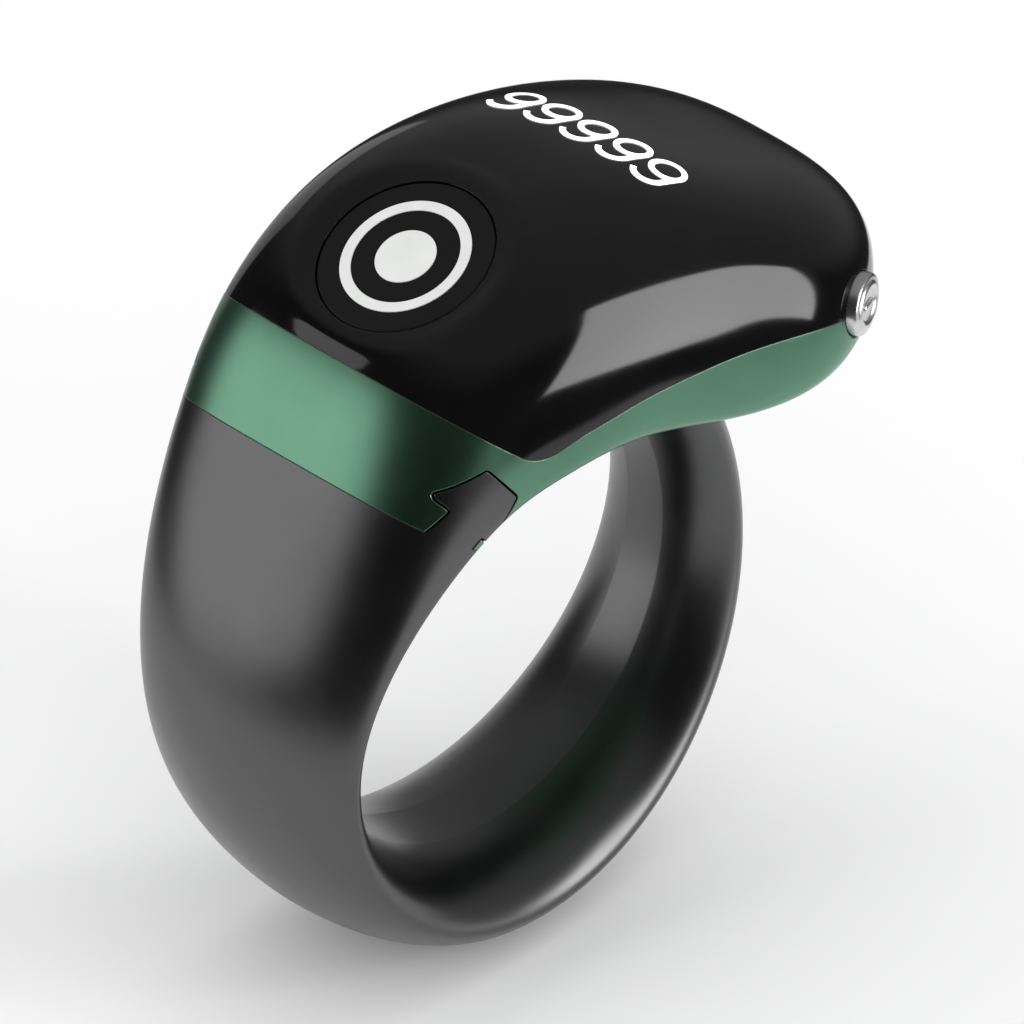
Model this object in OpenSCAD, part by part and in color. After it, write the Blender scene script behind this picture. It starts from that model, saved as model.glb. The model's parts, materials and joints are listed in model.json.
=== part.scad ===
// Finger ring counter: a comfort band keyed to a head that overhangs to one side.
// The origin is the centre of the finger bore. The bore runs along Y.
// +Z points up through the head's crown, and the head's tip overhangs towards +X.
// The side with the small side button is the near side, towards -Y.

/* [Ring] */
// Radius of the finger bore
bore_r = 10; // [9.5:0.25:10.75]
// Thickness of the band at the bottom of the ring
band_t = 4.1; // [3.7:0.1:4.8]
// Width of the band at the bottom of the ring, along the finger
band_w = 10.3; // [9:0.1:12]
// Depth by which the rounded inner surface is cut back to a plain cylinder
land_depth = 0.1; // [0.06:0.02:0.16]

/* [Head] */
// Height of the head's crown above the finger bore
head_h = 9.6; // [9.4:0.1:10.4]
// Reach of the head's tip from the bore's axis
head_reach = 17.8; // [17.4:0.1:19]
// Width of the head along the finger
head_w = 18.6; // [18:0.2:20.4]
// Depth of the belly's underside below the top of the bore
belly_drop = 2.1; // [1.9:0.05:2.4]
// Wall of the cover and of the housing
shell_wall = 1; // [0.8:0.05:1.1]
// Radius of the rounded corner where the cover's edge turns along the head
cover_corner_r = 2; // [1.6:0.1:2.3]

/* [Band key] */
// Width of the key's neck, across the band's thickness
key_neck_w = 2.2; // [1.8:0.1:2.6]
// Height of the key's neck
key_neck_h = 0.95; // [0.8:0.05:1.2]
// Width of the key's head at its shoulders
key_head_w = 3.95; // [3.6:0.05:4.2]
// Width of the key's head at its end
key_end_w = 2.2; // [1.9:0.1:2.6]
// Height of the key's head
key_head_h = 2.05; // [1.7:0.05:2.2]
// Gap all round the key in its slot
key_gap = 0.1; // [0.06:0.02:0.16]
// Radius of the screw that ties the band's other end to the head
band_screw_r = 0.55; // [0.45:0.05:0.65]

/* [Count button] */
// Radius of the count button's cap
cap_r = 3.7; // [3.4:0.05:3.9]
// Thickness of the cap above its flange
cap_t = 1.3; // [1.2:0.05:1.5]
// Depth of the cap's face under the crown, so that it sits in a shallow dish
cap_sink = 0.6; // [0.5:0.05:0.7]
// Travel of the count button
cap_travel = 0.35; // [0.2:0.05:0.4]
// Running gap round the cap
cap_gap = 0.06; // [0.03:0.01:0.09]
// Outer radius of the white ring mark
mark_ring_r = 2.74; // [2.4:0.02:3]
// Width of the white ring mark
mark_ring_w = 0.46; // [0.3:0.02:0.6]
// Radius of the white dot mark
mark_dot_r = 1.28; // [1:0.04:1.6]

/* [Side button] */
// Radius of the side button's cap
side_r = 1.3; // [1.15:0.05:1.4]
// Height that the side button stands proud
side_proud = 0.4; // [0.3:0.05:0.5]
// Travel of the side button
side_travel = 0.25; // [0.15:0.05:0.3]
// Running gap round the side button's cap
side_gap = 0.05; // [0.03:0.01:0.09]

/* [Display] */
// Length of the display panel, along the finger
panel_l = 10.8; // [10.2:0.1:11.2]
// Width of the display panel
panel_w = 5.2; // [4.6:0.1:5.6]
// Thickness of the display panel
panel_t = 1.1; // [0.9:0.05:1.3]
// Thickness of the gasket between the display panel and the cover
panel_gasket_t = 0.2; // [0.15:0.05:0.3]
// Height of a numeral
digit_h = 2.5; // [2:0.1:2.8]
// Spacing of the numerals
digit_pitch = 1.96; // [1.8:0.02:2.1]
// Width of a numeral's stroke
digit_stroke = 0.4; // [0.3:0.02:0.5]

/* [Electronics] */
// Thickness of the main board
board_t = 0.6; // [0.4:0.1:0.8]
// Height of the main board's underside above the bore
board_rise = 2.9; // [2.8:0.05:3.1]
// Height of the battery's plinth above the belly's inner face
plinth_rise = 1.1; // [0.9:0.05:1.3]
// Room between the head's side and the battery cell, for the bosses and the side switch
cell_side_room = 4.8; // [4.7:0.1:5.4]
// Room between the vibration motor and the battery cell, for the leads
cell_lead_room = 2.4; // [1.4:0.1:3]
// Thickness of the foam pad under the battery cell
pad_t = 0.3; // [0.2:0.05:0.4]
// Radius of the vibration motor
motor_r = 2.4; // [2:0.1:2.5]
// Thickness of the vibration motor
motor_t = 1.5; // [1.2:0.1:1.6]
// Radius of the board screws' shanks
screw_r = 0.45; // [0.35:0.05:0.5]
// Room between the head's tip and the charging pins
pin_room = 3.25; // [3.1:0.05:3.6]
// Radius of a charging pin
pin_r = 0.4; // [0.3:0.05:0.45]
// Spacing of the two charging pins
pin_spacing = 3; // [2.6:0.1:3.4]

/* [Hidden] */
overrun = 2 * head_reach;
static_gap = key_gap / 2;

// Stations of the outline: ring stations by angle, then head stations by their place along the reach
ring_angles = [60, 0, -45, -90, -135, -180, -210, -230, -247, -260];
band_t_shares = [0.77, 0.84, 0.95, 1, 0.94, 0.855];
shoulder_t_shares = [0.39, 0.536, 0.776, 0.906];
girdle_t_shares = [0.52, 0.52, 0.52, 0.52, 0.52, 0.52, 0.41, 0.3, 0.24, 0.195];
band_w_shares = [0.665, 0.67, 0.825, 1, 1.117, 1.194];
head_w_shares = [0.747, 0.801, 0.855, 0.903, 0.934, 0.963, 1, 0.854];
head_x_shares = [0.112, 0.393, 0.674, 1];
crown_z_shares = [0.997, 0.937, 0.738, 0.521];
girdle_z_shares = [0.212, 0.086, 0.134, 0.141];
belly_z_shares = [1.106, 1, 1.219];
// Roundness of the section at each station: 2 is an ellipse, and more is squarer
across_n = [1.9, 1.9, 1.9, 1.9, 1.9, 1.9, 2.54, 3.17, 3.17, 3.17, 2.98, 2.86, 2.81, 2.81];
outer_n = [1.7, 1.7, 1.7, 1.7, 1.7, 1.7, 2.43, 3.15, 3.15, 3.15, 3.08, 3.18, 2.87, 2.83];
inner_n = [1.74, 1.74, 1.74, 1.74, 1.74, 1.74, 2.19, 2.63, 2.63, 2.43, 3.26, 4.31, 3.37, 2.52];
// Roundness of the tip in plan and from the side, and where its rounding starts
tip_plan_n = 3.3;
tip_side_n = 4.1;
tip_from_share = 0.435;

function on_ring(r, a) = [r * cos(a), r * sin(a)];
function polar(p) = [atan2(p[1], p[0]) - 360, norm(p)];
function lengths(p, i) = i == 0 ? [0] :
    let (before = lengths(p, i - 1)) concat(before, [before[i - 1] + norm(p[i] - p[i - 1])]);

// Natural cubic spline through the stations
function spline_down(k, v, i) = i == 0 ? [[0, 0]] :
    let (rows = spline_down(k, v, i - 1),
         last = rows[i - 1],
         h0 = k[i] - k[i - 1],
         h1 = k[i + 1] - k[i],
         pivot = 2 * (h0 + h1) - h0 * last[0],
         bend = 6 * ((v[i + 1] - v[i]) / h1 - (v[i] - v[i - 1]) / h0))
    concat(rows, [[h1 / pivot, (bend - h0 * last[1]) / pivot]]);
function spline_up(rows, i, next) = i == 0 ? [0] :
    let (m = rows[i][1] - rows[i][0] * next) concat(spline_up(rows, i - 1, m), [m]);
function spline(k, v) = [k, v, concat(spline_up(spline_down(k, v, len(v) - 2), len(v) - 2, 0), [0])];
function knot_before(k, s, i = 0) = (i >= len(k) - 2 || s < k[i + 1]) ? i : knot_before(k, s, i + 1);
function at(c, s) =
    let (i = knot_before(c[0], s),
         h = c[0][i + 1] - c[0][i],
         a = (c[0][i + 1] - s) / h,
         b = (s - c[0][i]) / h)
    a * c[1][i] + b * c[1][i + 1] + ((pow(a, 3) - a) * c[2][i] + (pow(b, 3) - b) * c[2][i + 1]) * h * h / 6;

ring_t = concat(band_t * band_t_shares, head_h * shoulder_t_shares);
ring_last = len(ring_t) - 1;
head_x = head_reach * head_x_shares;
head_last = len(head_x) - 1;
belly_r = bore_r - land_depth;
belly_z = bore_r - belly_drop;
crown_line = concat([for (i = [0:ring_last]) [ring_angles[i], bore_r + ring_t[i]]],
    [for (i = [0:head_last]) polar([head_x[i], bore_r + head_h * crown_z_shares[i]])]);
girdle_line = concat([for (i = [0:ring_last]) [ring_angles[i], bore_r + ring_t[i] * girdle_t_shares[i]]],
    [for (i = [0:head_last]) polar([head_x[i], bore_r + head_h * girdle_z_shares[i]])]);
belly_line = concat([for (a = ring_angles) [a, belly_r]],
    [polar([head_x[0], sqrt(pow(belly_r, 2) - pow(head_x[0], 2))])],
    [for (i = [1:head_last]) polar([head_x[i], belly_z * belly_z_shares[i - 1]])]);
half_widths = concat(band_w / 2 * band_w_shares, head_w / 2 * head_w_shares);
knots = lengths([for (p = girdle_line) on_ring(p[1], p[0])], len(girdle_line) - 1);
curves = [for (v = [
    [for (p = crown_line) p[0]], [for (p = crown_line) p[1]],
    [for (p = girdle_line) p[0]], [for (p = girdle_line) p[1]],
    [for (p = belly_line) p[0]], [for (p = belly_line) p[1]],
    half_widths, across_n, outer_n, inner_n]) spline(knots, v)];
s_joint = knots[ring_last - 2];
s_shoulder = knots[ring_last];
s_display = knots[ring_last + 2];
s_bay = knots[ring_last + 3];
s_tip = knots[len(knots) - 1];

// One station: crown, girdle and belly points, half width and roundness, drawn in by an inset
function tip_round(x, n) =
    let (from = head_reach * tip_from_share, c = max(0, min(1, (x - from) / (head_reach - from))))
    pow(1 - pow(c, n), 1 / n);
function crown_at(s) = on_ring(at(curves[1], s), at(curves[0], s));
function girdle_at(s) = on_ring(at(curves[3], s), at(curves[2], s));
function width_at(s) = at(curves[6], s) * (s > s_shoulder ? tip_round(girdle_at(s)[0], tip_plan_n) : 1);
function station(s, inset) =
    let (girdle = girdle_at(s),
         belly = on_ring(at(curves[5], s), at(curves[4], s)),
         tall = s > s_shoulder ? tip_round(girdle[0], tip_side_n) : 1,
         up = (crown_at(s) - girdle) * tall,
         down = (belly - girdle) * tall)
    [girdle + up * (1 - inset / norm(up)), girdle, girdle + down * (1 - inset / norm(down)),
     width_at(s) - inset, at(curves[7], s), at(curves[8], s), at(curves[9], s)];
function signed_power(c, n) = sign(c) * pow(abs(c), n);
function section(st, count) = [for (i = [0:count - 1])
    let (c = cos(360 * i / count), q = sin(360 * i / count),
         y = st[3] * signed_power(c, 2 / st[4]),
         arm = q >= 0 ? (st[0] - st[1]) * pow(q, 2 / st[5]) : (st[2] - st[1]) * pow(-q, 2 / st[6]),
         p = st[1] + arm)
    [p[0], y, p[1]]];
module skin(places, inset, count) {
    rings = [for (s = places) section(station(s, inset), count)];
    last = len(places) - 1;
    polyhedron(
        points = [for (r = rings, p = r) p],
        faces = concat(
            [[for (i = [0:count - 1]) i]],
            [for (j = [0:last - 1], i = [0:count - 1])
                let (a = j * count, b = a + count, next = (i + 1) % count)
                [a + i, b + i, b + next, a + next]],
            [[for (i = [count - 1:-1:0]) last * count + i]]));
}
// Shared places along the skin, so that the band and the head meet in one surface
step = s_tip / 64;
joint_index = floor(s_joint / step);
bay_index = floor(s_bay / step);
places_past_joint = 4;
places_before_joint = 3;
outer_points = 40;
inner_points = 28;
band_places = [for (i = [0:joint_index + places_past_joint]) i * step];
tip_turns = [6, 18, 30, 42, 54, 64, 72, 78, 83, 87];
tip_places = [for (a = tip_turns) bay_index * step + (s_tip - bay_index * step) * sin(a)];
head_places = concat([for (i = [joint_index - places_before_joint:bay_index]) i * step], tip_places);
overhang_places = [for (s = head_places) if (s > s_shoulder) s];
bay_reach_share = 0.9;
bay_places = concat([for (i = [joint_index + 1:1.5:bay_index]) i * step],
    [for (a = [12:12:60]) bay_index * step + (s_tip - bay_index * step) * bay_reach_share * sin(a)]);

// Building blocks: depths are counted downwards from the face of the frame they are used in
module along_finger() { rotate([90, 0, 0]) linear_extrude(overrun, center = true) children(); }
module finger_bore(r) { rotate([90, 0, 0]) cylinder(r = r, h = overrun, center = true, $fn = 120); }
module disc(r, from, to) { translate([0, 0, -to]) cylinder(r = r, h = to - from, $fn = 96); }
module rim(outer, inner, from, to) {
    difference() {
        disc(outer, from, to);
        disc(inner, from - overrun, to + overrun);
    }
}
module block(l, w, from, to) { translate([-l / 2, -w / 2, -to]) cube([l, w, to - from]); }
module both_sides(y) {
    for (side = [-1, 1]) translate([0, side * y, 0]) children();
}

// Joint between the band and the head, in a frame with its first axis out along the joint
joint_angle = 128.6;
joint_lean = 16;
key_mid_r = bore_r + ring_t[ring_last - 2] * 0.51;
key_top = key_neck_h + key_head_h;
key_flank = (key_head_w - key_end_w) / 2 / key_head_h;
bay_wall_rise = key_top + shell_wall * 0.7;
module at_joint() { rotate(joint_angle) translate([key_mid_r, 0]) children(); }
module key_outline(gap) {
    side = gap * sqrt(1 + pow(key_flank, 2));
    shoulder = key_head_w / 2 + side + gap * key_flank;
    end = key_end_w / 2 + side - gap * key_flank;
    at_joint() {
        translate([-key_neck_w / 2 - gap, -key_neck_h - key_head_h / 2])
            square([key_neck_w + 2 * gap, key_neck_h + key_head_h / 2 + key_neck_w]);
        polygon([[-shoulder, gap - key_neck_h], [shoulder, gap - key_neck_h],
            [end, -key_top - gap], [-end, -key_top - gap]]);
    }
}
module before_joint() {
    at_joint() rotate(joint_lean) translate([-key_mid_r / 2, 0]) square([overrun, overrun]);
}
module before_bay() {
    rotate(joint_angle) translate([0, -bay_wall_rise]) square([overrun, overrun]);
}
module past_joint() {
    intersection() {
        at_joint() rotate(joint_lean) translate([-key_mid_r / 2, -overrun]) square([overrun, overrun]);
        translate([-overrun, 0]) square([overrun, overrun]);
    }
}

// Line where the cover meets the housing, seen along the finger
seam_x_shares = [-0.094, -0.036, 0.085, 0.2, 0.44, 0.554, 0.685, 0.8, 1];
seam_z_shares = [0.27, 0.283, 0.305, 0.305, 0.282, 0.256, 0.203, 0.13, 0.02];
seam_points = [for (i = [0:len(seam_x_shares) - 1])
    [head_reach * seam_x_shares[i], bore_r + head_h * seam_z_shares[i]]];
seam_curve = spline([for (p = seam_points) p[0]], [for (p = seam_points) p[1]]);
seam_steps = 16;
seam_line = [for (i = [0:seam_steps])
    let (x = seam_points[0][0] + (head_reach - seam_points[0][0]) * i / seam_steps)
    [x, at(seam_curve, x)]];
seam_rise_angle = 139.5;
corner = [head_reach * -0.188, bore_r + head_h * 0.23 + cover_corner_r];
corner_turns = [for (a = [seam_rise_angle + 90:11:seam_rise_angle + 145])
    corner + on_ring(cover_corner_r, a)];
module cover_side() {
    polygon(concat(
        [corner_turns[0] + on_ring(overrun, seam_rise_angle)],
        corner_turns,
        seam_line,
        [[overrun, seam_line[seam_steps][1]], [overrun, 2 * overrun], [-overrun, 2 * overrun]]));
}
module housing_side() {
    difference() {
        square([2 * overrun, 2 * overrun], center = true);
        cover_side();
    }
}

// Frames of the count button, the display and the side button: each has +Z out of the surface
probe = step / 20;
function crown_turn(s) = let (d = crown_at(s + probe) - crown_at(s - probe)) atan2(d[1], d[0]);
module on_crown(s) {
    p = crown_at(s);
    translate([p[0], 0, p[1]]) rotate([0, -crown_turn(s), 0]) children();
}
s_button = knots[ring_last - 1] + (s_shoulder - knots[ring_last - 1]) * 0.935;
module at_button() { on_crown(s_button) translate([0, 0, -cap_sink]) children(); }
module at_display() { on_crown(s_display) children(); }
s_side = s_bay + (s_tip - s_bay) * 0.25;
side_girdle = girdle_at(s_side);
side_slope = (width_at(s_side + probe) - width_at(s_side - probe))
    / (girdle_at(s_side + probe)[0] - girdle_at(s_side - probe)[0]);
side_z = side_girdle[1] + side_r * 0.4;
module at_side() {
    translate([side_girdle[0], -width_at(s_side), side_z]) rotate([90, 0, -atan(side_slope)]) children();
}

// Depths of the count button's pieces under the cap's face
flange_r = cap_r + shell_wall * 0.35;
flange_t = cap_t * 0.27;
stem_r = cap_r * 0.3;
stem_depth = cap_t + flange_t + cap_t * 0.15;
plunger_r = cap_r * 0.175;
plunger_fit = cap_gap * 0.8;
switch_top = stem_depth + cap_travel * 1.15;
plunger_end = switch_top + cap_travel;
switch_end = plunger_end + cap_travel * 1.5;
switch_w = cap_r * 0.86;
button_board_l = cap_r * 1.2;
button_board_w = cap_r * 2.34;
button_board_end = switch_end + board_t * 0.7;
bridge_t = shell_wall / 2;
bridge_end = button_board_end + bridge_t;
leg_w = shell_wall * 0.8;
well_r = cap_r + shell_wall * 1.6;
well_depth = cap_t - static_gap;
seal_t = cap_t * 0.3;
seal_groove_r = cap_r - seal_t;
mark_t = cap_t * 0.04;
dish_rise = cap_sink;
dish_r = cap_r + cap_sink * 2.5;

// Depths of the side button's pieces under the head's surface
side_flange_depth = shell_wall * 1.3;
side_flange_r = side_r * 1.2;
side_flange_end = side_flange_depth + side_r * 0.18;
side_well_depth = side_flange_depth - static_gap;
side_well_r = side_r + shell_wall * 0.8;
side_stem_depth = side_flange_end + side_r * 0.16;
side_plunger_r = side_r * 0.28;
side_switch_top = side_stem_depth + side_travel * 1.2;
side_plunger_end = side_switch_top + side_travel;
side_switch_end = side_plunger_end + side_travel * 1.4;
side_switch_w = side_r * 1.6;
side_bracket_end = side_switch_end + side_r * 0.2;
scoop_r = side_r * 2.1;
scoop_out = side_r * 1.75;

// Places inside the head
board_z = bore_r + board_rise;
plinth_z = belly_z + shell_wall + plinth_rise;
cell_room = board_t / 2;
cell_t = board_z - cell_room - pad_t - plinth_z;
cell_w = head_w - 2 * cell_side_room;
motor_x = head_reach * 0.079;
pin_x = head_reach - pin_room;
insulator_w = shell_wall * 1.4;
insulator_lip = shell_wall * 0.15;
cell_from = motor_x + motor_r + cell_lead_room;
cell_to = pin_x - insulator_w / 2 - 2 * insulator_lip;
cell_l = cell_to - cell_from;
cell_x = (cell_from + cell_to) / 2;
plinth_from = cell_from - 2 * insulator_lip;
plinth_to = pin_x + insulator_w / 2 + insulator_lip / 2;
plinth_w = cell_w + shell_wall * 0.8;
board_top = board_z + board_t;
board_from = head_reach * -0.135;
board_to = head_reach * 0.854;
board_w = head_w * 0.67;
board_cut = head_w * 0.19;
boss_r = screw_r * 2.1;
boss_y = cell_w / 2 + boss_r + static_gap * 3;
boss_places = [[head_reach * -0.067, boss_y], [head_reach * 0.54, boss_y]];
screw_l = board_t * 3.4;
screw_head_r = screw_r * 1.9;
screw_head_t = screw_r;
band_screw_x = bore_r * 0.87;
band_screw_head_t = band_screw_r * 0.9;
band_screw_head_r = band_screw_r * 1.7;
band_screw_top = plinth_z - static_gap;
band_screw_end = belly_z - band_screw_r * 2.2;
insulator_l = pin_spacing + pin_r * 5;
insulator_floor = belly_z + shell_wall * 0.8;
insulator_top = plinth_z + shell_wall * 0.4;
chip_t = board_t;
chip_w = panel_w * 0.55;
chip_x = head_reach * 0.64;
small_x_shares = [-0.4, 0, 0.4];
small_y_shares = [-0.285, -0.1, 0.1, 0.285];
cell_lip = shell_wall * 0.25;
lead_r = pin_r * 0.6;

// Display: depths under the crown
panel_gasket_depth = shell_wall + head_w * 0.038;
panel_top = panel_gasket_depth + panel_gasket_t;
panel_end = panel_top + panel_t;
gasket_w = shell_wall * 1.2;
frame_x = head_reach * 0.35;
frame_l = panel_w * 0.86;
frame_w = panel_l * 0.94;
frame_wall = shell_wall * 0.6;
flex_x = frame_x - frame_l / 2 - shell_wall * 0.4;
flex_t = shell_wall * 0.15;
flex_w = panel_w * 0.6;
flex_drop = shell_wall * 0.6;
digit_w = digit_h * 0.62;
digit_t = digit_stroke * 0.25;
tail_angle = 35;
row_lean = 0.0717;
row_turn = 4.1;
crown_rise = norm(crown_at(s_display) - girdle_at(s_display));
display_across = at(curves[7], s_display);
display_outer = at(curves[8], s_display);
function crown_drop(y) =
    crown_rise * (1 - pow(1 - pow(abs(y) / width_at(s_display), display_across), 1 / display_outer));
function crown_tilt(y) = atan((crown_drop(y - probe) - crown_drop(y + probe)) / (2 * probe));

module each_boss() {
    for (p = boss_places) translate([p[0], 0, 0]) both_sides(p[1]) children();
}
module upright(r, from, to) { translate([0, 0, from]) cylinder(r = r, h = to - from, $fn = 48); }
module slab(x_from, x_to, w, from, to) {
    translate([x_from, -w / 2, from]) cube([x_to - x_from, w, to - from]);
}
module side_foot() {
    at_side() translate([-side_switch_w / 2, -side_switch_w / 2 - overrun, -side_bracket_end])
        cube([side_switch_w, overrun, side_bracket_end - side_switch_top]);
}

// Shells
module head_bay() {
    difference() {
        skin(bay_places, shell_wall, inner_points);
        along_finger() before_bay();
    }
}
module scoop() { at_side() translate([0, 0, scoop_out]) sphere(r = scoop_r, $fn = 72); }
module ring_band() {
    color([0.3, 0.3, 0.31]) difference() {
        skin(band_places, 0, outer_points);
        along_finger() difference() {
            past_joint();
            key_outline(0);
        }
        skin(overhang_places, 0, outer_points);
        finger_bore(bore_r);
        translate([band_screw_x, 0, 0]) upright(band_screw_r + static_gap, band_screw_end, overrun);
    }
}
module lower_housing() {
    color([0.35, 0.55, 0.45]) difference() {
        skin(head_places, 0, outer_points);
        difference() {
            along_finger() cover_side();
            each_boss() upright(boss_r, 0, board_z);
        }
        difference() {
            head_bay();
            each_boss() upright(boss_r, 0, board_z);
            slab(plinth_from, plinth_to, plinth_w, 0, plinth_z);
            side_foot();
            at_side() disc(side_well_r, 0, side_well_depth + static_gap);
        }
        along_finger() {
            before_joint();
            key_outline(key_gap);
        }
        finger_bore(bore_r);
        slab(cell_from - static_gap, cell_to + static_gap, cell_w + 2 * static_gap, plinth_z, board_z);
        each_boss() upright(screw_r + static_gap, board_top - screw_l - static_gap, overrun);
        translate([band_screw_x, 0, 0]) {
            upright(band_screw_r + static_gap, 0, overrun);
            upright(band_screw_head_r + static_gap, band_screw_top - band_screw_head_t, overrun);
        }
        at_side() disc(side_r + side_gap, -overrun, side_switch_top);
        at_side() disc(side_flange_r + static_gap * 3, side_well_depth, side_switch_top);
        scoop();
        translate([pin_x, 0, 0]) slab(-insulator_w / 2 - static_gap, insulator_w / 2 + static_gap,
            insulator_l + 2 * static_gap, 0, overrun);
    }
}
module top_cover() {
    color([0.08, 0.08, 0.09]) difference() {
        skin(head_places, 0, outer_points);
        along_finger() {
            housing_side();
            before_joint();
        }
        difference() {
            head_bay();
            at_button() disc(well_r, -overrun, well_depth);
            at_display() block(panel_w, panel_l, -overrun, panel_gasket_depth);
            at_side() disc(side_well_r, 0, side_well_depth);
        }
        at_button() {
            disc(well_r, well_depth, bridge_end);
            block(button_board_l + 2 * static_gap, 2 * well_r + 2 * static_gap,
                well_depth, bridge_end + static_gap);
        }
        at_display() block(panel_w + 2 * static_gap, panel_l + 2 * static_gap,
            panel_gasket_depth, panel_end);
        at_button() disc(cap_r + cap_gap, -overrun, overrun / 4);
        at_button() cylinder(r1 = cap_r + cap_gap, r2 = dish_r, h = dish_rise, $fn = 96);
        at_side() disc(side_r + side_gap, -overrun, side_well_depth + shell_wall);
        at_side() disc(side_flange_r + static_gap * 3, side_well_depth, side_switch_top);
        scoop();
    }
}

// Count button and the switch under it
module count_button() {
    color([0.12, 0.12, 0.13]) at_button() {
        difference() {
            disc(cap_r, 0, cap_t);
            rim(cap_r + overrun, seal_groove_r, seal_t, 2 * seal_t);
        }
        disc(flange_r, cap_t, cap_t + flange_t);
        disc(stem_r, cap_t + flange_t, stem_depth);
    }
}
module button_ring_mark() {
    color([0.92, 0.93, 0.92]) at_button() rim(mark_ring_r, mark_ring_r - mark_ring_w, -mark_t, 0);
}
module button_dot_mark() {
    color([0.92, 0.93, 0.92]) at_button() disc(mark_dot_r, -mark_t, 0);
}
module button_seal() {
    color([0.2, 0.2, 0.2]) at_button() rim(cap_r + cap_gap / 2, seal_groove_r, seal_t, 2 * seal_t);
}
module count_plunger() {
    color([0.85, 0.8, 0.7]) at_button() disc(plunger_r, stem_depth, plunger_end);
}
module count_switch() {
    color([0.7, 0.7, 0.72]) at_button() difference() {
        block(switch_w, switch_w, switch_top, switch_end);
        disc(plunger_r + plunger_fit, switch_top - overrun, plunger_end + cap_travel * 1.1);
    }
}
module button_board() {
    color([0.1, 0.3, 0.2]) at_button() block(button_board_l, button_board_w, switch_end, button_board_end);
}
module switch_bridge() {
    color([0.65, 0.66, 0.68]) at_button() {
        block(button_board_l, 2 * well_r, button_board_end, bridge_end);
        both_sides(well_r - leg_w / 2) block(button_board_l, leg_w, well_depth, bridge_end);
    }
}
module button_flex() {
    color([0.75, 0.5, 0.2]) at_button() {
        translate([button_board_l / 2 + flex_t / 2, 0, 0])
            block(flex_t, flex_w, switch_end, bridge_end + flex_drop);
    }
}

// Display
module digit_nine() {
    bowl_r = digit_w / 2;
    rise = digit_h / 2 - bowl_r;
    translate([rise, 0]) difference() {
        circle(r = bowl_r, $fn = 48);
        circle(r = bowl_r - digit_stroke, $fn = 48);
    }
    translate([-rise, -bowl_r]) square([2 * rise, digit_stroke]);
    translate([-rise, 0]) difference() {
        circle(r = bowl_r, $fn = 48);
        circle(r = bowl_r - digit_stroke, $fn = 48);
        for (turn = [0, tail_angle]) rotate(turn) translate([0, -overrun]) square(2 * overrun);
    }
}
module display_numerals() {
    color([0.95, 0.95, 0.95]) at_display() for (k = [-2:2])
        translate([-k * digit_pitch * row_lean, k * digit_pitch, -crown_drop(k * digit_pitch)])
            rotate([crown_tilt(k * digit_pitch), 0, -row_turn])
                linear_extrude(digit_t) digit_nine();
}
module display_gasket() {
    color([0.15, 0.15, 0.15]) at_display() difference() {
        block(panel_w, panel_l, panel_gasket_depth, panel_top);
        block(panel_w - gasket_w, panel_l - gasket_w, panel_gasket_depth - overrun, panel_top + overrun);
    }
}
module display_panel() {
    color([0.05, 0.05, 0.07]) at_display() block(panel_w, panel_l, panel_top, panel_end);
}
module display_frame() {
    color([0.3, 0.3, 0.32]) difference() {
        translate([frame_x, 0, 0]) difference() {
            slab(-frame_l / 2, frame_l / 2, frame_w, board_top, board_top + overrun / 2);
            slab(frame_wall - frame_l / 2, frame_l / 2 - frame_wall, frame_w - 2 * frame_wall,
                board_top - overrun, board_top + overrun);
        }
        at_display() block(overrun, overrun, -overrun, panel_end);
    }
}
module display_flex() {
    color([0.75, 0.5, 0.2]) translate([flex_x, 0, 0])
        difference() {
            slab(0, frame_x - frame_l / 2 - flex_x + flex_t, flex_w, board_top, board_top + overrun / 2);
            slab(flex_t, overrun, flex_w + overrun, board_top - overrun, board_top + overrun);
            translate([-flex_x, 0, 0]) at_display() block(overrun, overrun, -overrun, panel_end);
        }
}

// Main board and what it carries
module main_board() {
    color([0.08, 0.25, 0.18]) difference() {
        translate([0, 0, board_z]) linear_extrude(board_t) polygon([
            [board_from, -board_w / 2],
            [board_to - board_cut, -board_w / 2],
            [board_to, board_cut - board_w / 2],
            [board_to, board_w / 2 - board_cut],
            [board_to - board_cut, board_w / 2],
            [board_from, board_w / 2]]);
        each_boss() upright(screw_r + static_gap, 0, overrun);
    }
}
module controller_chip() {
    color([0.1, 0.1, 0.1]) translate([chip_x, 0, 0])
        slab(-chip_w / 2, chip_w / 2, chip_w, board_top, board_top + chip_t);
}
module memory_chip() {
    color([0.1, 0.1, 0.1]) translate([chip_x, chip_w * 1.15, 0])
        slab(-chip_w * 0.35, chip_w * 0.35, chip_w * 0.5, board_top, board_top + chip_t * 0.8);
}
module antenna_chip() {
    color([0.9, 0.9, 0.88]) translate([board_to - chip_w * 0.4, 0, 0])
        slab(-chip_w * 0.2, chip_w * 0.2, chip_w * 1.2, board_top, board_top + chip_t * 0.8);
}
module small_components() {
    color([0.6, 0.5, 0.35]) for (x = small_x_shares, y = small_y_shares)
        translate([frame_x + x * chip_w, y * panel_l, 0])
            slab(-chip_w * 0.12, chip_w * 0.12, chip_w * 0.36, board_top, board_top + chip_t * 0.6);
}
module vibration_motor() {
    color([0.8, 0.8, 0.82]) translate([motor_x, 0, 0]) {
        upright(motor_r, board_z - motor_t, board_z - motor_t * 0.12);
        upright(motor_r * 0.8, board_z - motor_t * 0.12, board_z);
    }
}
module battery_cell() {
    color([0.75, 0.76, 0.78]) translate([cell_x, 0, 0]) {
        slab(-cell_l / 2, cell_l / 2, cell_w, plinth_z + pad_t, plinth_z + pad_t + cell_t);
        slab(-cell_l / 2 - cell_lip, -cell_l / 2, cell_w * 0.6,
            plinth_z + pad_t + cell_t * 0.25, plinth_z + pad_t + cell_t * 0.75);
    }
}
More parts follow.
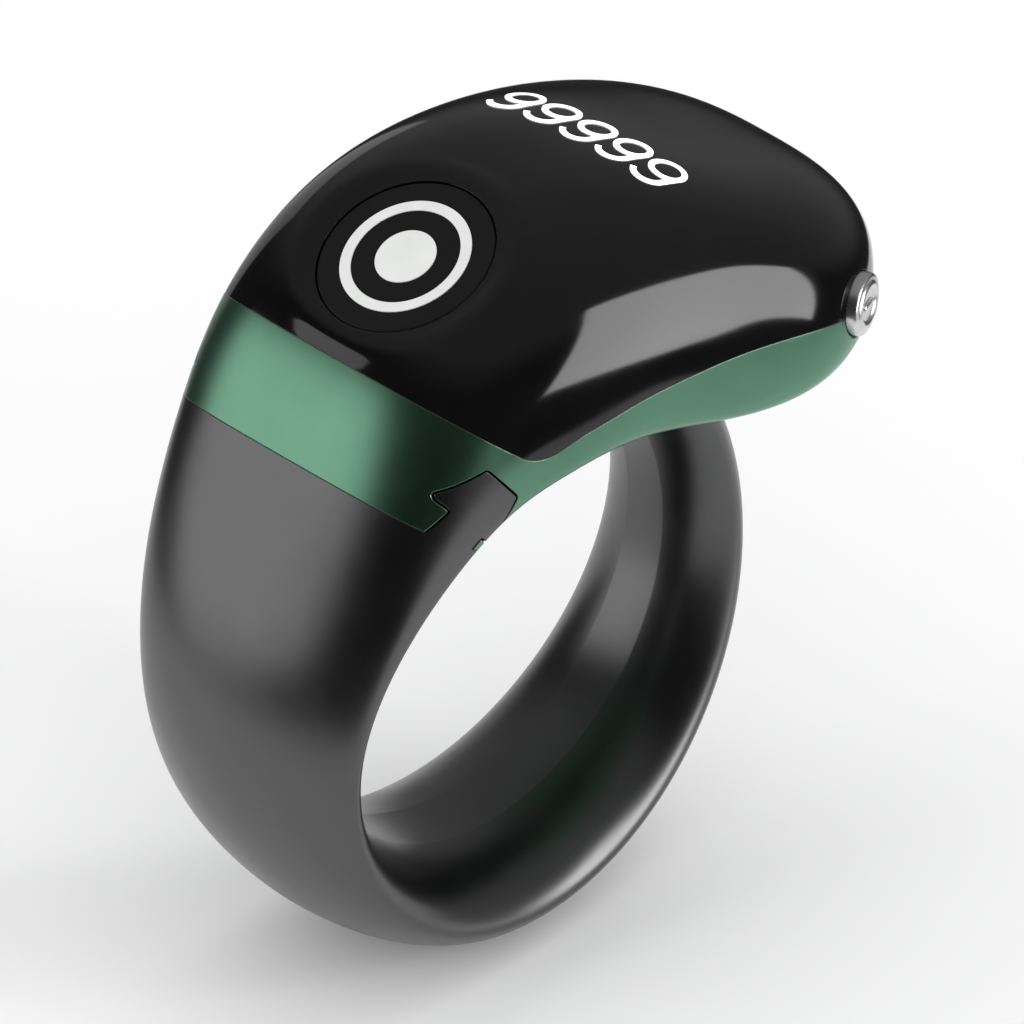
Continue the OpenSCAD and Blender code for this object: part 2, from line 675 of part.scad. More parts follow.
module battery_pad() {
    color([0.25, 0.25, 0.25]) translate([cell_x, 0, 0])
        slab(-cell_l / 2, cell_l / 2, cell_w, plinth_z, plinth_z + pad_t);
}
module battery_leads() {
    color([0.8, 0.1, 0.1]) translate([cell_x - cell_l / 2 - cell_lip - lead_r, 0, 0])
        both_sides(cell_w * 0.2) upright(lead_r, plinth_z + pad_t + cell_t * 0.35, board_z);
}

// Side button and the switch behind it
module side_button() {
    color([0.8, 0.8, 0.82]) at_side() {
        disc(side_r, -side_proud * 0.6, side_flange_depth);
        disc(side_r * 0.86, -side_proud * 0.8, -side_proud * 0.6);
        difference() {
            disc(side_r * 0.7, -side_proud, -side_proud * 0.8);
            disc(side_r * 0.5, -overrun, -side_proud * 0.8 + overrun);
        }
        translate([-side_r * 0.3, -side_r * 0.12, side_proud * 0.8])
            cube([side_r * 0.6, side_r * 0.24, side_proud * 0.2]);
        disc(side_flange_r, side_flange_depth, side_flange_end);
        disc(side_plunger_r * 2, side_flange_end, side_stem_depth);
    }
}
module side_plunger() {
    color([0.85, 0.8, 0.7]) at_side() disc(side_plunger_r, side_stem_depth, side_plunger_end);
}
module side_switch() {
    color([0.7, 0.7, 0.72]) at_side() difference() {
        block(side_switch_w, side_switch_w, side_switch_top, side_switch_end);
        disc(side_plunger_r + plunger_fit, side_switch_top - overrun, side_plunger_end + side_travel * 1.1);
    }
}
module side_bracket() {
    color([0.65, 0.66, 0.68]) at_side()
        block(side_switch_w, side_switch_w, side_switch_end, side_bracket_end);
}

// Charging pins and screws
module charging_pins() {
    color([0.85, 0.7, 0.35]) translate([pin_x, 0, 0]) both_sides(pin_spacing / 2)
        upright(pin_r, insulator_floor - insulator_lip, board_z);
}
module pin_insulator() {
    color([0.12, 0.12, 0.12]) translate([pin_x, 0, 0]) difference() {
        union() {
            slab(-insulator_w / 2, insulator_w / 2, insulator_l, insulator_floor, insulator_top);
            slab(-insulator_w / 2 - insulator_lip, insulator_w / 2 + insulator_lip,
                insulator_l + 4 * insulator_lip, plinth_z, insulator_top);
        }
        both_sides(pin_spacing / 2) upright(pin_r, 0, overrun);
    }
}
module board_screws() {
    color([0.7, 0.7, 0.72]) each_boss() {
        upright(screw_r, board_top - screw_l, board_top);
        upright(screw_head_r, board_top, board_top + screw_head_t);
    }
}
module band_screw() {
    color([0.7, 0.7, 0.72]) translate([band_screw_x, 0, 0]) {
        upright(band_screw_r, band_screw_end, band_screw_top - band_screw_head_t);
        upright(band_screw_head_r, band_screw_top - band_screw_head_t, band_screw_top);
    }
}

ring_band();
lower_housing();
top_cover();
count_button();
button_ring_mark();
button_dot_mark();
button_seal();
count_plunger();
count_switch();
button_board();
switch_bridge();
button_flex();
display_numerals();
display_gasket();
display_panel();
display_frame();
display_flex();
main_board();
controller_chip();
memory_chip();
antenna_chip();
small_components();
vibration_motor();
battery_cell();
battery_pad();
battery_leads();
side_button();
side_plunger();
side_switch();
side_bracket();
charging_pins();
pin_insulator();
board_screws();
band_screw();
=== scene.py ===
"""Looks of the finger counter: smooth shells, finishes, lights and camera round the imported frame.

The head is drawn along a spine that starts under the head's overhang, runs round the finger and
ends at the overhanging tip. Crown, girdle and belly lines follow that spine, and each section
between them is a rounded superellipse. Lengths are in millimetres until a mesh is made.
"""
import json
import math

import bmesh
import bpy
import numpy as np
from mathutils import Matrix, Vector


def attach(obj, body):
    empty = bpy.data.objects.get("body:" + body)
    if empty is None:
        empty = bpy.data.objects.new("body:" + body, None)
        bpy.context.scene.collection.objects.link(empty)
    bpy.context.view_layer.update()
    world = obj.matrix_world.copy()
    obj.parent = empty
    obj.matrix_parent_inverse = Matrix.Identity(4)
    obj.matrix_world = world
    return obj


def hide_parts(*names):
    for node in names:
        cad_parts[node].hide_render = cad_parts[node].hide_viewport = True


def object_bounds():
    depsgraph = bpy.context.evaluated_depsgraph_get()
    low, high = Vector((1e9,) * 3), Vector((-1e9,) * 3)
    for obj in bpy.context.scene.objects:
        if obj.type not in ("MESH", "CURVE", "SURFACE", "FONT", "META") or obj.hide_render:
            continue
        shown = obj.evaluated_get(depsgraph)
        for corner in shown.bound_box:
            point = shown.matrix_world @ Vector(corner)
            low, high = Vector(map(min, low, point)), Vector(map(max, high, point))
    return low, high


MM = 0.001

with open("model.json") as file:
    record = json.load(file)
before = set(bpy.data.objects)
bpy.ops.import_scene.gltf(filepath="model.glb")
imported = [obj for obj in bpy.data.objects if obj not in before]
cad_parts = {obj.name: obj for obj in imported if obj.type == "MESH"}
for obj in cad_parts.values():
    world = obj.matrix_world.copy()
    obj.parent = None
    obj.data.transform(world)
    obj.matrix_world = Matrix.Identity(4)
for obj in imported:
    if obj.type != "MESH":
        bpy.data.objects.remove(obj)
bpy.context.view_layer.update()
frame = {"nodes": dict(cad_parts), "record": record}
record = frame["record"]
nodes = frame["nodes"]

# Driving sizes
BORE_R = record["mounts"][0]["dims"]["r_mm"]
BAND_T = 4.1
BAND_W = 10.3
LAND_DEPTH = 0.1
HEAD_H = 9.6
HEAD_REACH = 17.8
HEAD_W = 18.6
BELLY_DROP = 2.1
SHELL_WALL = 1.0
COVER_CORNER_R = 2.0
KEY_NECK_W = 2.2
KEY_NECK_H = 0.95
KEY_HEAD_W = 3.95
KEY_END_W = 2.2
KEY_HEAD_H = 2.05
KEY_GAP = 0.1
KEY_ROUND = 0.16
BAND_SCREW_R = 0.55
CAP_R = 3.7
CAP_T = 1.3
CAP_SINK = 0.6
CAP_TRAVEL = 0.35
CAP_GAP = 0.06
MARK_RING_R = 2.74
MARK_RING_W = 0.46
MARK_DOT_R = 1.28
SIDE_R = 1.3
SIDE_PROUD = 0.4
SIDE_TRAVEL = 0.25
SIDE_GAP = 0.05
PANEL_L = 10.8
PANEL_W = 5.2
PANEL_T = 1.1
PANEL_GASKET_T = 0.2
DIGIT_H = 2.5
DIGIT_PITCH = 1.96
DIGIT_STROKE = 0.4
BOARD_T = 0.6
BOARD_RISE = 2.9
PLINTH_RISE = 1.1
CELL_SIDE_ROOM = 4.8
CELL_LEAD_ROOM = 2.4
MOTOR_R = 2.4
SCREW_R = 0.45
PIN_ROOM = 3.25
PIN_R = 0.4
PIN_SPACING = 3.0
STATIC_GAP = KEY_GAP / 2
SEAM_GAP = 0.02
OVERRUN = 2 * HEAD_REACH

# Stations of the outline: ring stations by angle, then head stations by their place along the reach
RING_ANGLES = [60, 0, -45, -90, -135, -180, -210, -230, -247, -260]
BAND_T_SHARES = [0.77, 0.84, 0.95, 1, 0.94, 0.855]
SHOULDER_T_SHARES = [0.39, 0.536, 0.776, 0.906]
GIRDLE_T_SHARES = [0.52, 0.52, 0.52, 0.52, 0.52, 0.52, 0.41, 0.3, 0.24, 0.195]
BAND_W_SHARES = [0.665, 0.67, 0.825, 1, 1.117, 1.194]
HEAD_W_SHARES = [0.747, 0.801, 0.855, 0.903, 0.934, 0.963, 1, 0.854]
HEAD_X_SHARES = [0.112, 0.393, 0.674, 1]
CROWN_Z_SHARES = [0.997, 0.937, 0.738, 0.521]
GIRDLE_Z_SHARES = [0.212, 0.086, 0.134, 0.141]
BELLY_Z_SHARES = [1.106, 1, 1.219]
ACROSS_N = [1.9] * 6 + [2.54] + [3.17] * 3 + [2.98, 2.86, 2.81, 2.81]
OUTER_N = [1.7] * 6 + [2.43] + [3.15] * 3 + [3.08, 3.18, 2.87, 2.83]
INNER_N = [1.74] * 6 + [2.19, 2.63, 2.63, 2.43, 3.26, 4.31, 3.37, 2.52]
TIP_PLAN_N = 3.3
TIP_SIDE_N = 4.1
TIP_FROM_SHARE = 0.435

# Settings of the meshes
SPINE_STEPS = 64
CROWDING = 0.42
PRISM_REACH = 30.0
BORE_AROUND = 720
BAY_AROUND = 96
CAP_AROUND = 240
SCOOP_AROUND = 200
SMOOTH_ANGLE = math.radians(32)
TO_SIDE = Matrix.Rotation(math.radians(90), 4, "X")


class Spline:
    """Natural cubic spline through values at knots."""

    def __init__(self, knots, values):
        self.k = np.asarray(knots, float)
        self.v = np.asarray(values, float)
        n = len(self.k)
        h = np.diff(self.k)
        a = np.eye(n)
        b = np.zeros(n)
        for i in range(1, n - 1):
            a[i, i - 1 : i + 2] = h[i - 1], 2 * (h[i - 1] + h[i]), h[i]
            b[i] = 6 * ((self.v[i + 1] - self.v[i]) / h[i] - (self.v[i] - self.v[i - 1]) / h[i - 1])
        self.m = np.linalg.solve(a, b)

    def __call__(self, s):
        s = np.asarray(s, float)
        i = np.clip(np.searchsorted(self.k, s, side="right") - 1, 0, len(self.k) - 2)
        h = self.k[i + 1] - self.k[i]
        a = (self.k[i + 1] - s) / h
        b = (s - self.k[i]) / h
        bend = ((a**3 - a) * self.m[i] + (b**3 - b) * self.m[i + 1]) * h * h / 6
        return a * self.v[i] + b * self.v[i + 1] + bend


def on_ring(r, degrees):
    """Points in X and Z at radii and angles round the finger."""
    t = np.radians(degrees)
    return np.stack([r * np.cos(t), r * np.sin(t)], -1)


def polar(p):
    """Angle and radius of a point of the head, whose angles follow on from the ring's."""
    return [math.degrees(math.atan2(p[1], p[0])) - 360, math.hypot(*p)]


ring_t = np.array([BAND_T * k for k in BAND_T_SHARES] + [HEAD_H * k for k in SHOULDER_T_SHARES])
head_x = [HEAD_REACH * k for k in HEAD_X_SHARES]
belly_r = BORE_R - LAND_DEPTH
belly_z = BORE_R - BELLY_DROP
crown_line = [[a, BORE_R + t] for a, t in zip(RING_ANGLES, ring_t)]
crown_line += [polar([x, BORE_R + HEAD_H * k]) for x, k in zip(head_x, CROWN_Z_SHARES)]
girdle_line = [[a, BORE_R + t * k] for a, t, k in zip(RING_ANGLES, ring_t, GIRDLE_T_SHARES)]
girdle_line += [polar([x, BORE_R + HEAD_H * k]) for x, k in zip(head_x, GIRDLE_Z_SHARES)]
belly_line = [[a, belly_r] for a in RING_ANGLES]
belly_line += [polar([head_x[0], math.sqrt(belly_r**2 - head_x[0] ** 2)])]
belly_line += [polar([x, belly_z * k]) for x, k in zip(head_x[1:], BELLY_Z_SHARES)]
half_widths = [BAND_W / 2 * k for k in BAND_W_SHARES] + [HEAD_W / 2 * k for k in HEAD_W_SHARES]
girdle_angles, girdle_radii = np.array(girdle_line).T
girdle_points = on_ring(girdle_radii, girdle_angles)
knots = np.concatenate([[0], np.cumsum(np.linalg.norm(np.diff(girdle_points, axis=0), axis=1))])
crown_a, crown_r, girdle_a, girdle_r, belly_a, belly_d = [
    Spline(knots, v) for line in (crown_line, girdle_line, belly_line) for v in zip(*line)
]
width, n_across, n_outer, n_inner = [
    Spline(knots, v) for v in (half_widths, ACROSS_N, OUTER_N, INNER_N)
]
RING_LAST = len(RING_ANGLES) - 1
S_JOINT, S_SHOULDER, S_DISPLAY, S_BAY, S_TIP = (
    knots[i] for i in (RING_LAST - 2, RING_LAST, RING_LAST + 2, RING_LAST + 3, -1)
)
STEP = S_TIP / SPINE_STEPS
JOINT_INDEX = int(S_JOINT / STEP)


def tip_round(x, n):
    """Share of a section that is left at a place along the reach, as the tip closes."""
    start = HEAD_REACH * TIP_FROM_SHARE
    c = np.clip((x - start) / (HEAD_REACH - start), 0, 1)
    return (1 - c**n) ** (1 / n)


def crown_at(s):
    return on_ring(crown_r(s), crown_a(s))


def girdle_at(s):
    return on_ring(girdle_r(s), girdle_a(s))


def width_at(s):
    return width(s) * np.where(s > S_SHOULDER, tip_round(girdle_at(s)[..., 0], TIP_PLAN_N), 1)


def skin_points(s, around, inset=0.0):
    """Points of the skin at places s along the spine and angles around each section, in mm."""
    s = np.asarray(s, float)
    girdle = girdle_at(s)
    tall = np.where(s > S_SHOULDER, tip_round(girdle[:, 0], TIP_SIDE_N), 1)[:, None]
    up = (crown_at(s) - girdle) * tall
    down = (on_ring(belly_d(s), belly_a(s)) - girdle) * tall
    up = up * (1 - inset / np.linalg.norm(up, axis=1))[:, None]
    down = down * (1 - inset / np.linalg.norm(down, axis=1))[:, None]
    c, q = np.cos(around)[None, :], np.sin(around)[None, :]
    y = (width_at(s) - inset)[:, None] * np.sign(c) * np.abs(c) ** (2 / n_across(s)[:, None])
    rise = np.abs(q) ** (2 / np.where(q >= 0, n_outer(s)[:, None], n_inner(s)[:, None]))
    arm = np.where(q[..., None] >= 0, up[:, None, :], down[:, None, :])
    p = girdle[:, None, :] + arm * rise[..., None]
    return np.stack([p[..., 0], y, p[..., 1]], -1)


def around_steps(count):
    """Angles round a section, closer together where the superellipse turns fast."""
    t = np.linspace(0, 2 * np.pi, count, endpoint=False)
    return t - CROWDING * np.sin(4 * t) / 4


# Meshes
def mesh_object(name, verts, faces):
    mesh = bpy.data.meshes.new(name)
    mesh.from_pydata([tuple(v) for v in verts], [], faces)
    mesh.validate()
    obj = bpy.data.objects.new(name, mesh)
    bpy.context.scene.collection.objects.link(obj)
    return obj


def between_rows(a, b, n, closed=True):
    """Faces between two rows of n points that start at indices a and b."""
    turns = range(n if closed else n - 1)
    return [(a + i, a + (i + 1) % n, b + (i + 1) % n, b + i) for i in turns]


def skin(name, places, inset=0.0, count=160, shape=None):
    """The closed skin between two places along the spine, its points moved by shape if given."""
    p = skin_points(places, around_steps(count), inset) * MM
    rows = len(p)
    verts = [Vector(v) for v in p.reshape(-1, 3)]
    if shape:
        verts = [shape(v) for v in verts]
    faces = [list(reversed(range(count)))]
    for j in range(rows - 1):
        faces += between_rows(j * count, (j + 1) * count, count)
    faces.append([(rows - 1) * count + i for i in range(count)])
    return mesh_object(name, verts, faces)


def prism(name, outline):
    """A solid from an outline in X and Z, run along the finger."""
    n = len(outline)
    onward = outline[1:] + outline[:1]
    area = sum(a[0] * b[1] - b[0] * a[1] for a, b in zip(outline, onward))
    pts = outline if area > 0 else outline[::-1]
    verts = [(x * MM, y * MM, z * MM) for y in (-PRISM_REACH, PRISM_REACH) for x, z in pts]
    faces = [list(range(n)), [2 * n - 1 - i for i in range(n)]]
    faces += [(i, i + n, (i + 1) % n + n, (i + 1) % n) for i in range(n)]
    return mesh_object(name, verts, faces)


def circle_of(r, h, count):
    """One ring of points round +Z at a radius and height."""
    turns = [2 * math.pi * i / count for i in range(count)]
    return [(r * MM * math.cos(t), r * MM * math.sin(t), h * MM) for t in turns]


def turned(name, profile, place, count=128):
    """A solid of revolution from (radius, height) pairs, whose first and last lie on the axis."""
    inner = profile[1:-1]
    verts = [v for r, h in inner for v in circle_of(r, h, count)]
    low, top = len(verts), len(verts) + 1
    verts += [(0, 0, profile[0][1] * MM), (0, 0, profile[-1][1] * MM)]
    faces = []
    for j in range(len(inner) - 1):
        faces += between_rows(j * count, (j + 1) * count, count)
    last = (len(inner) - 1) * count
    faces += [(low, (i + 1) % count, i) for i in range(count)]
    faces += [(top, last + i, last + (i + 1) % count) for i in range(count)]
    obj = mesh_object(name, verts, faces)
    obj.data.transform(place)
    return obj


def disc(name, r, start, end, place, count=160):
    """A solid disc between two depths under the frame's face."""
    return turned(name, [(0, -end), (r, -end), (r, -start), (0, -start)], place, count)


def upright(name, r, low, high, x=0.0, y=0.0, count=64):
    """A solid disc about a line parallel to +Z between two heights."""
    return disc(name, r, -high, -low, Matrix.Translation((x * MM, y * MM, 0)), count)


def slab(name, low, high, place=Matrix.Identity(4)):
    """A rectangular solid between two corners."""
    (x0, y0, z0), (x1, y1, z1) = low, high
    corners = [(x0, y0), (x1, y0), (x1, y1), (x0, y1)]
    verts = [(x * MM, y * MM, z * MM) for z in (z0, z1) for x, y in corners]
    faces = [(3, 2, 1, 0), (4, 5, 6, 7)] + between_rows(0, 4, 4)
    obj = mesh_object(name, verts, faces)
    obj.data.transform(place)
    return obj


def block(name, length, across, start, end, place):
    """A rectangular solid centred on the frame, between two depths under its face."""
    return slab(name, (-length / 2, -across / 2, -end), (length / 2, across / 2, -start), place)


def combine(obj, others, operation="DIFFERENCE"):
    """Cuts the others from obj, or joins or intersects them with it, and removes them."""
    for other in others:
        m = obj.modifiers.new("cut", "BOOLEAN")
        m.operation = operation
        m.solver = "MANIFOLD"
        m.object = other
    bpy.context.view_layer.update()
    depsgraph = bpy.context.evaluated_depsgraph_get()
    mesh = bpy.data.meshes.new_from_object(obj.evaluated_get(depsgraph))
    obj.modifiers.clear()
    obj.data = mesh
    for other in others:
        bpy.data.objects.remove(other)
    return obj


def smooth(obj):
    """Smooth shading, with edges kept where faces turn by more than an angle."""
    picked = {"object": obj, "active_object": obj}
    picked.update(selected_objects=[obj], selected_editable_objects=[obj])
    with bpy.context.temp_override(**picked):
        bpy.ops.object.shade_smooth_by_angle(angle=SMOOTH_ANGLE)
    return obj


# Frames of the count button, the display and the side button: +Z points out of the surface
PROBE = STEP / 20
BUTTON_SHARE = 0.935
SIDE_SHARE = 0.25


def crown_frame(s, sink=0.0):
    """The frame on the crown at a place along the spine, sunk under it."""
    d = crown_at(s + PROBE) - crown_at(s - PROBE)
    turn = math.atan2(d[1], d[0])
    x, z = crown_at(s)
    place = Matrix.Translation(Vector((x, 0, z)) * MM) @ Matrix.Rotation(-turn, 4, "Y")
    return place @ Matrix.Translation((0, 0, -sink * MM))


s_before = knots[RING_LAST - 1]
s_button = s_before + (S_SHOULDER - s_before) * BUTTON_SHARE
at_button = crown_frame(s_button, CAP_SINK)
at_display = crown_frame(S_DISPLAY)
s_side = S_BAY + (S_TIP - S_BAY) * SIDE_SHARE
side_girdle = girdle_at(s_side)
side_run = girdle_at(s_side + PROBE)[0] - girdle_at(s_side - PROBE)[0]
side_slope = (width_at(s_side + PROBE) - width_at(s_side - PROBE)) / side_run
side_at = Vector((side_girdle[0], -width_at(s_side), side_girdle[1] + SIDE_R * 0.4)) * MM
side_turn = Matrix.Rotation(-math.atan(side_slope), 4, "Z") @ TO_SIDE
at_side = Matrix.Translation(side_at) @ side_turn

# Depths of the count button's pieces under the cap's face
flange_r = CAP_R + SHELL_WALL * 0.35
flange_end = CAP_T * 1.27
stem_end = flange_end + CAP_T * 0.15
switch_top = stem_end + CAP_TRAVEL * 1.15
switch_end = switch_top + CAP_TRAVEL * 2.5
button_board_l = CAP_R * 1.2
bridge_end = switch_end + BOARD_T * 0.7 + SHELL_WALL / 2
well_r = CAP_R + SHELL_WALL * 1.6
well_depth = CAP_T - STATIC_GAP
DISH_R = CAP_R + CAP_SINK * 2.5

# Depths of the side button's pieces under the head's surface
side_flange_depth = SHELL_WALL * 1.3
side_flange_r = SIDE_R * 1.2
side_flange_end = side_flange_depth + SIDE_R * 0.18
side_stem_end = side_flange_end + SIDE_R * 0.16
side_well_depth = side_flange_depth - STATIC_GAP
side_well_r = SIDE_R + SHELL_WALL * 0.8
side_room_r = side_flange_r + STATIC_GAP * 3
side_switch_top = side_stem_end + SIDE_TRAVEL * 1.2
side_switch_end = side_switch_top + SIDE_TRAVEL * 2.4
side_bracket_end = side_switch_end + SIDE_R * 0.2
side_switch_w = SIDE_R * 1.6
scoop_r = SIDE_R * 2.1
scoop_out = SIDE_R * 1.75

# Places inside the head
MOTOR_X_SHARE = 0.079
BOSS_X_SHARES = [-0.067, 0.54]
BAND_SCREW_X_SHARE = 0.87
board_z = BORE_R + BOARD_RISE
board_top = board_z + BOARD_T
plinth_z = belly_z + SHELL_WALL + PLINTH_RISE
cell_w = HEAD_W - 2 * CELL_SIDE_ROOM
pin_x = HEAD_REACH - PIN_ROOM
insulator_w = SHELL_WALL * 1.4
insulator_lip = SHELL_WALL * 0.15
insulator_l = PIN_SPACING + PIN_R * 5
cell_from = HEAD_REACH * MOTOR_X_SHARE + MOTOR_R + CELL_LEAD_ROOM
cell_to = pin_x - insulator_w / 2 - 2 * insulator_lip
plinth_w = cell_w + SHELL_WALL * 0.8
boss_r = SCREW_R * 2.1
boss_y = cell_w / 2 + boss_r + STATIC_GAP * 3
boss_places = [(HEAD_REACH * k, side * boss_y) for k in BOSS_X_SHARES for side in (-1, 1)]
band_screw_x = BORE_R * BAND_SCREW_X_SHARE
band_screw_hole_r = BAND_SCREW_R + STATIC_GAP
panel_gasket_depth = SHELL_WALL + HEAD_W * 0.038
panel_end = panel_gasket_depth + PANEL_GASKET_T + PANEL_T

# Line where the cover meets the housing
SEAM_X_SHARES = [-0.094, -0.036, 0.085, 0.2, 0.44, 0.554, 0.685, 0.8, 1]
SEAM_Z_SHARES = [0.27, 0.283, 0.305, 0.305, 0.282, 0.256, 0.203, 0.13, 0.02]
SEAM_RISE_ANGLE = 139.5
SEAM_TURN = 56
CORNER_X_SHARE = -0.188
CORNER_Z_SHARE = 0.23
seam_x = [HEAD_REACH * k for k in SEAM_X_SHARES]
seam_curve = Spline(seam_x, [BORE_R + HEAD_H * k for k in SEAM_Z_SHARES])
corner_z = BORE_R + HEAD_H * CORNER_Z_SHARE + COVER_CORNER_R
corner = np.array([HEAD_REACH * CORNER_X_SHARE, corner_z])


def cover_outline(gap=0.0):
    """Outline in X and Z of everything on the cover's side of the seam, drawn in by a gap."""
    angles = np.arange(SEAM_RISE_ANGLE + 90, SEAM_RISE_ANGLE + 90 + SEAM_TURN, 3)
    turns = [tuple(corner + on_ring(COVER_CORNER_R - gap, a)) for a in angles]
    line = [(x, float(seam_curve(x)) + gap) for x in np.linspace(seam_x[0], HEAD_REACH, 90)]
    start = np.array(turns[0]) + on_ring(OVERRUN, SEAM_RISE_ANGLE)
    far = [(OVERRUN, line[-1][1]), (OVERRUN, 2 * OVERRUN), (-OVERRUN, 2 * OVERRUN)]
    return [tuple(start)] + turns + line + far


def housing_outline(gap=0.0):
    """Outline of everything on the housing's side of the seam."""
    edge = cover_outline(-gap)[:-2]
    low = -2 * OVERRUN
    return [(-2 * OVERRUN, edge[0][1])] + edge + [(OVERRUN, low), (-2 * OVERRUN, low)]


# Joint between band and head
JOINT_ANGLE = math.radians(128.6)
JOINT_LEAN = math.radians(16)
JOINT_DEPTH = BORE_R
KEY_MID_SHARE = 0.51
key_mid_r = BORE_R + ring_t[RING_LAST - 2] * KEY_MID_SHARE
key_top = KEY_NECK_H + KEY_HEAD_H
key_flank = (KEY_HEAD_W - KEY_END_W) / 2 / KEY_HEAD_H


def in_joint(out, back, lean=0.0):
    """A point given outwards along the joint and back from it towards the band."""
    a = out * math.cos(lean) - back * math.sin(lean) + key_mid_r
    b = out * math.sin(lean) + back * math.cos(lean)
    c, s = math.cos(JOINT_ANGLE), math.sin(JOINT_ANGLE)
    return (a * c - b * s, a * s + b * c)


def rounded(points, radii, turns=6):
    """An outline with its corners rounded."""
    out = []
    n = len(points)
    for i, (p, r) in enumerate(zip(points, radii)):
        p = np.array(p, float)
        before = np.array(points[i - 1], float) - p
        after = np.array(points[(i + 1) % n], float) - p
        la, lb = np.linalg.norm(before), np.linalg.norm(after)
        if r <= 0:
            out.append(tuple(p))
            continue
        u, v = before / la, after / lb
        half = math.acos(np.clip(u @ v, -1, 1)) / 2
        d = min(r / math.tan(half), la / 2, lb / 2)
        r = d * math.tan(half)
        centre = p + (u + v) / np.linalg.norm(u + v) * r / math.sin(half)
        a0, a1 = p + u * d - centre, p + v * d - centre
        t0, t1 = math.atan2(a0[1], a0[0]), math.atan2(a1[1], a1[0])
        if t1 - t0 > math.pi:
            t1 -= 2 * math.pi
        if t0 - t1 > math.pi:
            t1 += 2 * math.pi
        arc = np.linspace(t0, t1, turns)
        out += [tuple(centre + r * np.array([math.cos(t), math.sin(t)])) for t in arc]
    return out


def key_outline(gap=0.0):
    """The key from its root in the band to its end in the head, grown by a gap."""
    side = gap * math.hypot(1, key_flank)
    neck = KEY_NECK_W / 2 + gap
    shoulder = KEY_HEAD_W / 2 + side + gap * key_flank
    end = KEY_END_W / 2 + side - gap * key_flank
    level, top = gap - KEY_NECK_H, -key_top - gap
    half = [(neck, KEY_NECK_W), (neck, level), (shoulder, level), (end, top)]
    points = half + [(-a, b) for a, b in reversed(half)]
    inside, outside = KEY_ROUND - gap, KEY_ROUND + gap
    radii = [0, inside, outside, outside, outside, outside, inside, 0]
    return rounded([in_joint(a, b) for a, b in points], radii)


def joint_box(inner, start, end, lean):
    """A rectangle about the joint from inner outwards, between two distances back from it."""
    corners = [(inner, start), (OVERRUN, start), (OVERRUN, end), (inner, end)]
    return [in_joint(a, b, lean) for a, b in corners]


def past_joint():
    return joint_box(-key_mid_r / 2, 0, -JOINT_DEPTH, JOINT_LEAN)


def before_joint(gap):
    return joint_box(-key_mid_r / 2, -gap, OVERRUN, JOINT_LEAN)


def before_bay():
    return joint_box(-key_mid_r, -key_top - SHELL_WALL * 0.7, OVERRUN, 0.0)


# Shells
DETAIL = 1.0
AROUND = int(240 * DETAIL)


def spine(start, end, spacing=0.2):
    """Places along the spine between two of them."""
    return list(np.linspace(start, end, int((end - start) / (spacing / DETAIL)) + 2))


def tip_spine(reach=1.0, last=89.6, count=44):
    """Places along the spine towards the tip, closer together where it closes."""
    angles = np.radians(np.linspace(0, last, int(count * DETAIL) + 8))[1:]
    return list(S_BAY + (S_TIP - S_BAY) * reach * np.sin(angles))


# The skins run past the joint, and the cutters trim them back to it
band_places = spine(0, (JOINT_INDEX + 4) * STEP)
head_places = spine((JOINT_INDEX - 3) * STEP, S_BAY) + tip_spine()
overhang_places = [s for s in head_places if s > S_SHOULDER]
bay_places = spine((JOINT_INDEX + 1) * STEP, S_BAY, spacing=0.5)
bay_places += tip_spine(reach=0.9, last=60, count=12)


def bore_cutter():
    return disc("bore", BORE_R, -OVERRUN, OVERRUN, TO_SIDE, BORE_AROUND)


def bay():
    """The space inside the head's walls."""
    shell = skin("bay", bay_places, SHELL_WALL, BAY_AROUND)
    return combine(shell, [prism("bay_wall", before_bay())])


def side_hole(end):
    """Cutters of the side button's bore, the room behind it and the scoop round it."""
    return [
        disc("side_hole", SIDE_R + SIDE_GAP, -OVERRUN / 4, end, at_side),
        disc("side_room", side_room_r, side_well_depth, side_switch_top, at_side),
        turned("scoop", ball(scoop_r, scoop_out), at_side, SCOOP_AROUND),
    ]


def ball(r, height, steps=64):
    """Profile of a ball with its centre at a height."""
    return [(r * math.sin(t), height - r * math.cos(t)) for t in np.linspace(0, math.pi, steps)]


def bosses(top):
    return [upright("boss", boss_r, 0, top, x, y) for x, y in boss_places]


def band():
    past = combine(prism("past", past_joint()), [prism("key", key_outline())])
    overhang = skin("overhang", overhang_places, 0, AROUND)
    hole_from = belly_z - BAND_SCREW_R * 2.2
    hole = upright("screw_hole", band_screw_hole_r, hole_from, OVERRUN, band_screw_x)
    shell = skin("band_shell", band_places, 0, AROUND)
    return combine(shell, [past, overhang, bore_cutter(), hole])


